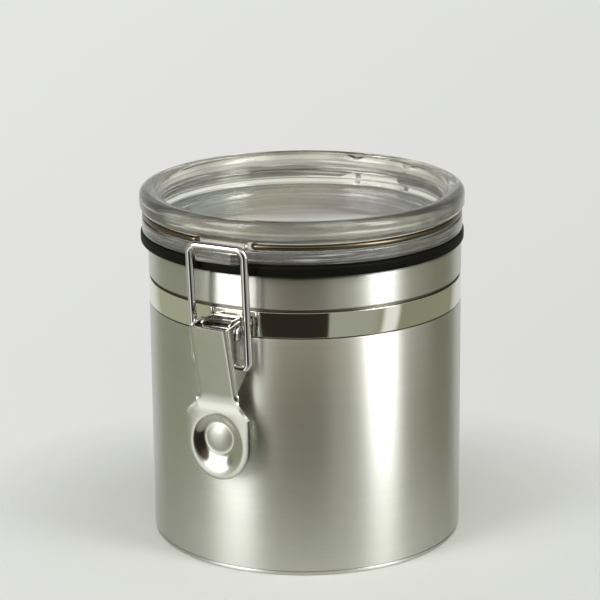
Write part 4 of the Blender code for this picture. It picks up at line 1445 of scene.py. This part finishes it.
@dataclass
class ClearLid:
    """The clear lid with its groove, rim, well, skirt and catch, its wire and its seal."""

    radius: float = 0.0635
    flange: float = 0.0626
    flange_top: float = 0.1284
    wire_height: float = 0.1300
    wire_ring: float = 0.0614
    wire_radius: float = 0.0011
    crest: float = 0.1399
    crest_radius: float = 0.0604
    well: float = 0.0561
    floor: float = 0.1266
    skirt: float = 0.0541
    skirt_low: float = 0.1163
    catch_root: float = -0.0586
    catch_top: float = 0.1280
    catch_half: float = 0.00974
    catch_front: float = -0.0701
    block_half: float = 0.0096
    block_front: float = -0.0645
    loop_half: float = 0.0122
    loop_shoulder: float = 0.0140
    seal_inner: float = 0.0544
    seal_step: float = 0.0557
    seal_outer: float = 0.0632
    seal_low: float = 0.1190
    seal_height: float = 0.0043
    seal_drop: float = 0.0030
    seal_segments: int = 256
    segments: int = 288

    def profile(self) -> Array:
        """The lid's section from its underside's middle round to its well's middle.

        Returns:
            Points of (radius, height).
        """
        groove = self.wire_ring - self.wire_radius - GAP
        low = self.wire_height - self.wire_radius - 0.0005
        high = self.wire_height + self.wire_radius + 0.0005
        corners = [
            (self.skirt - 0.0025, LID_BOTTOM, 0.0005),
            (self.skirt - 0.0025, self.skirt_low, 0.0004),
            (self.skirt, self.skirt_low, 0.0004),
            (self.skirt, LID_BOTTOM, 0.0002),
            (self.flange, LID_BOTTOM, 0.0004),
            (self.flange, self.flange_top, 0.0005),
            (groove, low, 0.0003),
            (groove, high, 0.0003),
            (self.flange, high + 0.0003, 0.0003),
            (self.radius, high + 0.0018, 0.0008),
            (self.radius, self.crest - 0.0006, 0.0029),
            (self.crest_radius, self.crest, 0.0030),
            (self.well, self.crest - 0.0010, 0.0028),
            (self.well - 0.0004, self.floor, 0.0017),
        ]
        return rounded_section((0.0, LID_BOTTOM), corners, (0.0, self.floor), 7)

    def build(self, clear: Material, drawn: Material, rubber: Material) -> None:
        """Makes the lid with its catch, the wire and the seal.

        Args:
            clear: The lid's material.
            drawn: The wire's material.
            rubber: The seal's material.
        """
        add_piece(self.lid_mesh(), clear, Body.LID, "lid")
        wire = tube("lid_wire_fine", self.wire_path(), self.wire_radius, 20)
        add_piece(wire, drawn, Body.LID, "lid_wire")
        add_piece(self.seal(), rubber, Body.LID, "gasket")

    def plate(self, half: float, front: float, corner: float, steps: int) -> Array:
        """A plate's outline in plan, from inside the flange to its front.

        Args:
            half: Half its width.
            front: Its front edge.
            corner: The radius of its front corners.
            steps: Points in each corner.

        Returns:
            The outline's points.
        """
        right = [(half, front, corner), (half, self.catch_root, 0.0002)]
        left = [(-across, back, radius) for across, back, radius in right[::-1]]
        return rounded_outline(left + right, steps)

    def lid_mesh(self) -> Mesh:
        """The turned lid joined with its catch plate and block into one clear solid.

        Returns:
            The mesh.
        """
        base = revolve("lid_fine", self.profile(), self.segments, (0.0, LID_SHIFT))
        catch = self.plate(self.catch_half, self.catch_front, 0.0034, 9)
        block = self.plate(self.block_half, self.block_front, 0.0008, 5)
        block_top = self.wire_height + self.wire_radius + 0.0017
        tools = [
            slab("catch_tool", catch, self.catch_top - 0.0038, self.catch_top),
            slab("block_tool", block, self.catch_top - 0.0010, block_top),
        ]
        return joined("lid_fine", base, tools)

    def wire_path(self) -> Array:
        """Half the ring from its turned-in front end to the hinge loop, and its mirror image.

        The ring is (ring x sin a, shift - ring x cos a) for the angle a from the front to the loop.

        Returns:
            Points x 3.
        """
        ring, height = self.wire_ring, self.wire_height
        end_across = self.block_half + self.wire_radius + GAP + 0.0006
        front = math.asin(end_across / ring)
        back = math.asin(self.loop_shoulder / ring)
        angle = np.linspace(front, math.pi - back, 60)
        level = np.full(len(angle), height)
        arc = np.stack([ring * np.sin(angle), LID_SHIFT - ring * np.cos(angle), level], -1)
        stub = arc[0] + (0.0, self.wire_radius + 0.0022, 0.0)
        start = rounded_path([stub, arc[0], arc[2]], [0.0015], 7)
        hinge_out, hinge_height = HINGE_AXIS
        corners = [
            arc[-3],
            arc[-1],
            (self.loop_half, hinge_out - 0.0016, height),
            (self.loop_half, hinge_out, hinge_height),
            (0.0, hinge_out, hinge_height),
        ]
        end = rounded_path(corners, [0.0022] * 3, 9)
        half = np.vstack([start[:-1], arc[2:-3], end])
        return np.vstack([half, half[-2::-1] * (-1, 1, 1)])

    def seal(self) -> Mesh:
        """The seal's section: a flat ring with rounded edges and a lip down inside the mouth.

        Returns:
            The mesh.
        """
        low, high, lip = self.seal_low, self.seal_low + self.seal_height, self.seal_low - self.seal_drop
        corners = [
            (self.seal_inner, high, 0.0003),
            (self.seal_outer, high, 0.0010),
            (self.seal_outer, low, 0.0010),
            (self.seal_step, low, 0.0003),
            (self.seal_step, lip, 0.0003),
            (self.seal_inner, lip, 0.0003),
        ]
        outline = rounded_outline(corners, 7)
        return revolve("gasket_fine", outline, self.seal_segments, (0.0, LID_SHIFT))


def joined(name: str, base: Mesh, tools: list[Mesh]) -> Mesh:
    """Joins solids into one with exact booleans.

    Args:
        name: The new mesh's name, before its ending.
        base: The first solid, used up.
        tools: The solids to add, used up.

    Returns:
        The mesh of the joined solid.
    """
    body = linked("join_base", base)
    helpers = [linked(tool.name, tool) for tool in tools]
    for helper in helpers:
        step = body.modifiers.new(helper.name, "BOOLEAN")
        step.operation = "UNION"
        step.solver = "EXACT"
        step.object = helper
    bpy.context.view_layer.update()
    ready = body.evaluated_get(bpy.context.evaluated_depsgraph_get())
    made = bpy.data.meshes.new_from_object(ready)
    made.name = name + "_joined"
    for helper in [body, *helpers]:
        bpy.data.objects.remove(helper, do_unlink=True)
    made.shade_smooth()
    made.set_sharp_from_angle(angle=math.radians(SMOOTH_BELOW))
    return made


# The studio


@dataclass(frozen=True)
class Patch:
    """A soft-edged patch of the room, in degrees from the camera's side and above the horizon."""

    colour: Colour
    left: float
    right: float
    low: float
    high: float
    soft: float

    def share(self, azimuth: Wire, rise: Wire) -> Wire:
        """1 inside the patch and 0 outside: the product of a soft step for each of its sides.

        Args:
            azimuth: Degrees from the camera's side towards its right.
            rise: Degrees above the horizon.

        Returns:
            The share.
        """
        rate, half = 1.0 / self.soft, self.soft / 2
        across = azimuth.band(self.left - half, self.right + half, rate)
        return across * rise.band(self.low - half, self.high + half, rate)


@dataclass
class Studio:
    """Camera, pale table, and a room with two windows and a darker gap that the metal reflects."""

    plan: float = 0.9438
    height: float = 0.3608
    pitch: float = 0.2772
    yaw: float = -0.0022
    roll: float = -0.0095
    side: float = math.radians(28.5)
    focal_pixels: float = 2479.6
    frame_pixels: float = 600.0
    sensor: float = 36.0
    table_points: int = 96
    backdrop: Colour = (0.745, 0.753, 0.73)
    backdrop_from: float = -0.67
    backdrop_rate: float = 5.0
    backdrop_strength: float = 1.03
    dimmer_right: float = 0.10
    lighter_high: float = 0.05

    def camera(self) -> None:
        """The fitted camera: turned about the tin, pitched down, with the small yaw and roll found."""
        yaw, pitch, roll = self.yaw, self.pitch, self.roll
        ahead = Vector((math.sin(yaw) * math.cos(pitch), math.cos(yaw) * math.cos(pitch), -math.sin(pitch)))
        right = ahead.cross(Vector((0, 0, 1))).normalized()
        up = right.cross(ahead)
        rolled_right = right * math.cos(roll) + up * math.sin(roll)
        rolled_up = up * math.cos(roll) - right * math.sin(roll)
        turn = Matrix((rolled_right, rolled_up, -ahead)).transposed().to_4x4()
        lens = bpy.data.cameras.new("photo_camera")
        lens.sensor_width = self.sensor
        lens.lens = self.focal_pixels / self.frame_pixels * self.sensor
        lens.clip_start = 0.05
        camera = linked("photo_camera", lens)
        stand = Matrix.Translation((0, -self.plan, self.height)) @ turn
        camera.matrix_world = Matrix.Rotation(self.side, 4, "Z") @ stand
        bpy.context.scene.camera = camera

    def table(self) -> None:
        """A pale satin disc: a flat ring of points (reach x cos a, reach x sin a), filled."""
        finish = PaleTable()
        angle = np.linspace(0.0, math.tau, self.table_points, endpoint=False)
        rim = finish.reach * np.stack([np.cos(angle), np.sin(angle), 0 * angle], -1)
        mesh = bpy.data.meshes.new("table")
        mesh.from_pydata(rim.tolist(), [], [list(range(self.table_points))])
        mesh.materials.append(finish.material("pale_table"))
        linked("table", mesh)

    def patches(self) -> list[Patch]:
        """What stands round the tin, the farthest first.

        Returns:
            The patches.
        """
        return [
            Patch((0.42, 0.44, 0.33), -185.0, -60.0, -95.0, 0.0, 8.0),
            Patch((0.40, 0.41, 0.35), 10.0, 55.0, -95.0, 0.0, 8.0),
            Patch((0.030, 0.024, 0.018), -33.0, 17.0, -32.0, 22.0, 1.5),
            Patch((0.16, 0.085, 0.035), -30.0, -12.0, 2.0, 16.0, 5.0),
            Patch((1.3, 1.3, 1.27), -61.0, -42.0, -50.0, 4.0, 4.0),
            Patch((0.95, 0.96, 0.92), 59.0, 72.0, -50.0, 2.0, 4.0),
            Patch((0.98, 0.90, 0.72), -44.0, 48.0, 24.0, 72.0, 8.0),
            Patch((0.76, 0.76, 0.68), 68.0, 104.0, 8.0, 72.0, 8.0),
            Patch((0.42, 0.42, 0.36), -150.0, -74.0, 8.0, 72.0, 8.0),
            Patch((7.6, 7.65, 7.6), -70.0, -40.0, 2.0, 54.0, 8.0),
            Patch((8.5, 8.5, 8.5), 48.0, 68.0, 0.0, 54.0, 6.0),
            Patch((0.05, 0.02, 0.07), -135.0, -61.0, 41.0, 88.0, 4.0),
        ]

    def world(self) -> None:
        """The room, painted by direction, and the pale backdrop that the camera sees.

        The azimuth is counted from the camera's side towards its right. Metal and glass see the
        backdrop too where it stands, behind the tin.
        """
        made = bpy.data.worlds.new("studio")
        bpy.context.scene.world = made
        surface = Surface(made)
        x, y, z = surface.split(surface.node("ShaderNodeTexCoord", {}, {}, "Generated"))
        forward = x * math.sin(self.side) + y * -math.cos(self.side)
        side = x * math.cos(self.side) + y * math.sin(self.side)
        azimuth = surface.node("ShaderNodeMath", {"operation": "ARCTAN2"}, {0: side, 1: forward}) * DEGREES
        rise = surface.node("ShaderNodeMath", {"operation": "ARCSINE"}, {0: z}) * DEGREES
        heights = [
            (0.0, (0.32, 0.32, 0.24)),
            (0.49, (0.30, 0.295, 0.21)),
            (0.53, (0.24, 0.24, 0.20)),
            (1.0, (0.19, 0.185, 0.185)),
        ]
        colour = surface.ramp(rise * (1.0 / 180.0) + 0.5, heights)
        for patch in self.patches():
            colour = surface.mixed(patch.share(azimuth, rise), colour, patch.colour)
        behind = forward.below(self.backdrop_from, self.backdrop_rate)
        colour = surface.mixed(behind, colour, self.backdrop)
        light = surface.node("ShaderNodeBackground", {}, {"Color": colour, "Strength": 1.0})
        dimmer = (side * 2.2 + 0.5).clamped() * -self.dimmer_right
        strength = dimmer + rise.above(-17.0, 0.1) * self.lighter_high + self.backdrop_strength
        seen_colour = (*self.backdrop, 1.0)
        pale = surface.node("ShaderNodeBackground", {}, {"Color": seen_colour, "Strength": strength})
        mirrored = surface.ray("Is Glossy Ray") + surface.ray("Is Transmission Ray")
        seen = (surface.ray("Is Camera Ray") + mirrored * behind).clamped()
        surface.finish(surface.blended(seen, light, pale))

    def build(self) -> None:
        """Sets up everything that isn't the tin."""
        self.camera()
        self.table()
        self.world()


def main() -> None:
    """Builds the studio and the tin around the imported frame."""
    logging.basicConfig(level=logging.INFO, format="%(message)s")
    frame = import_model()
    chrome = Chrome().material("chrome")
    Studio().build()
    CanBody().build(BrushedSteel().material("brushed_steel"))
    StrapAndBrackets().build(frame, PolishedSteel().material("polished_steel"), chrome)
    LatchLever().build(PressedSteel().material("pressed_steel"))
    WireBail().build(chrome)
    clear = ClearAcrylic().material("clear_acrylic")
    ClearLid().build(clear, WirePaintedReflection().material("wire_painted_reflection"), BlackRubber().material("black_rubber"))
    bpy.context.scene.view_settings.view_transform = "Standard"


if __name__ == "__main__":
    main()
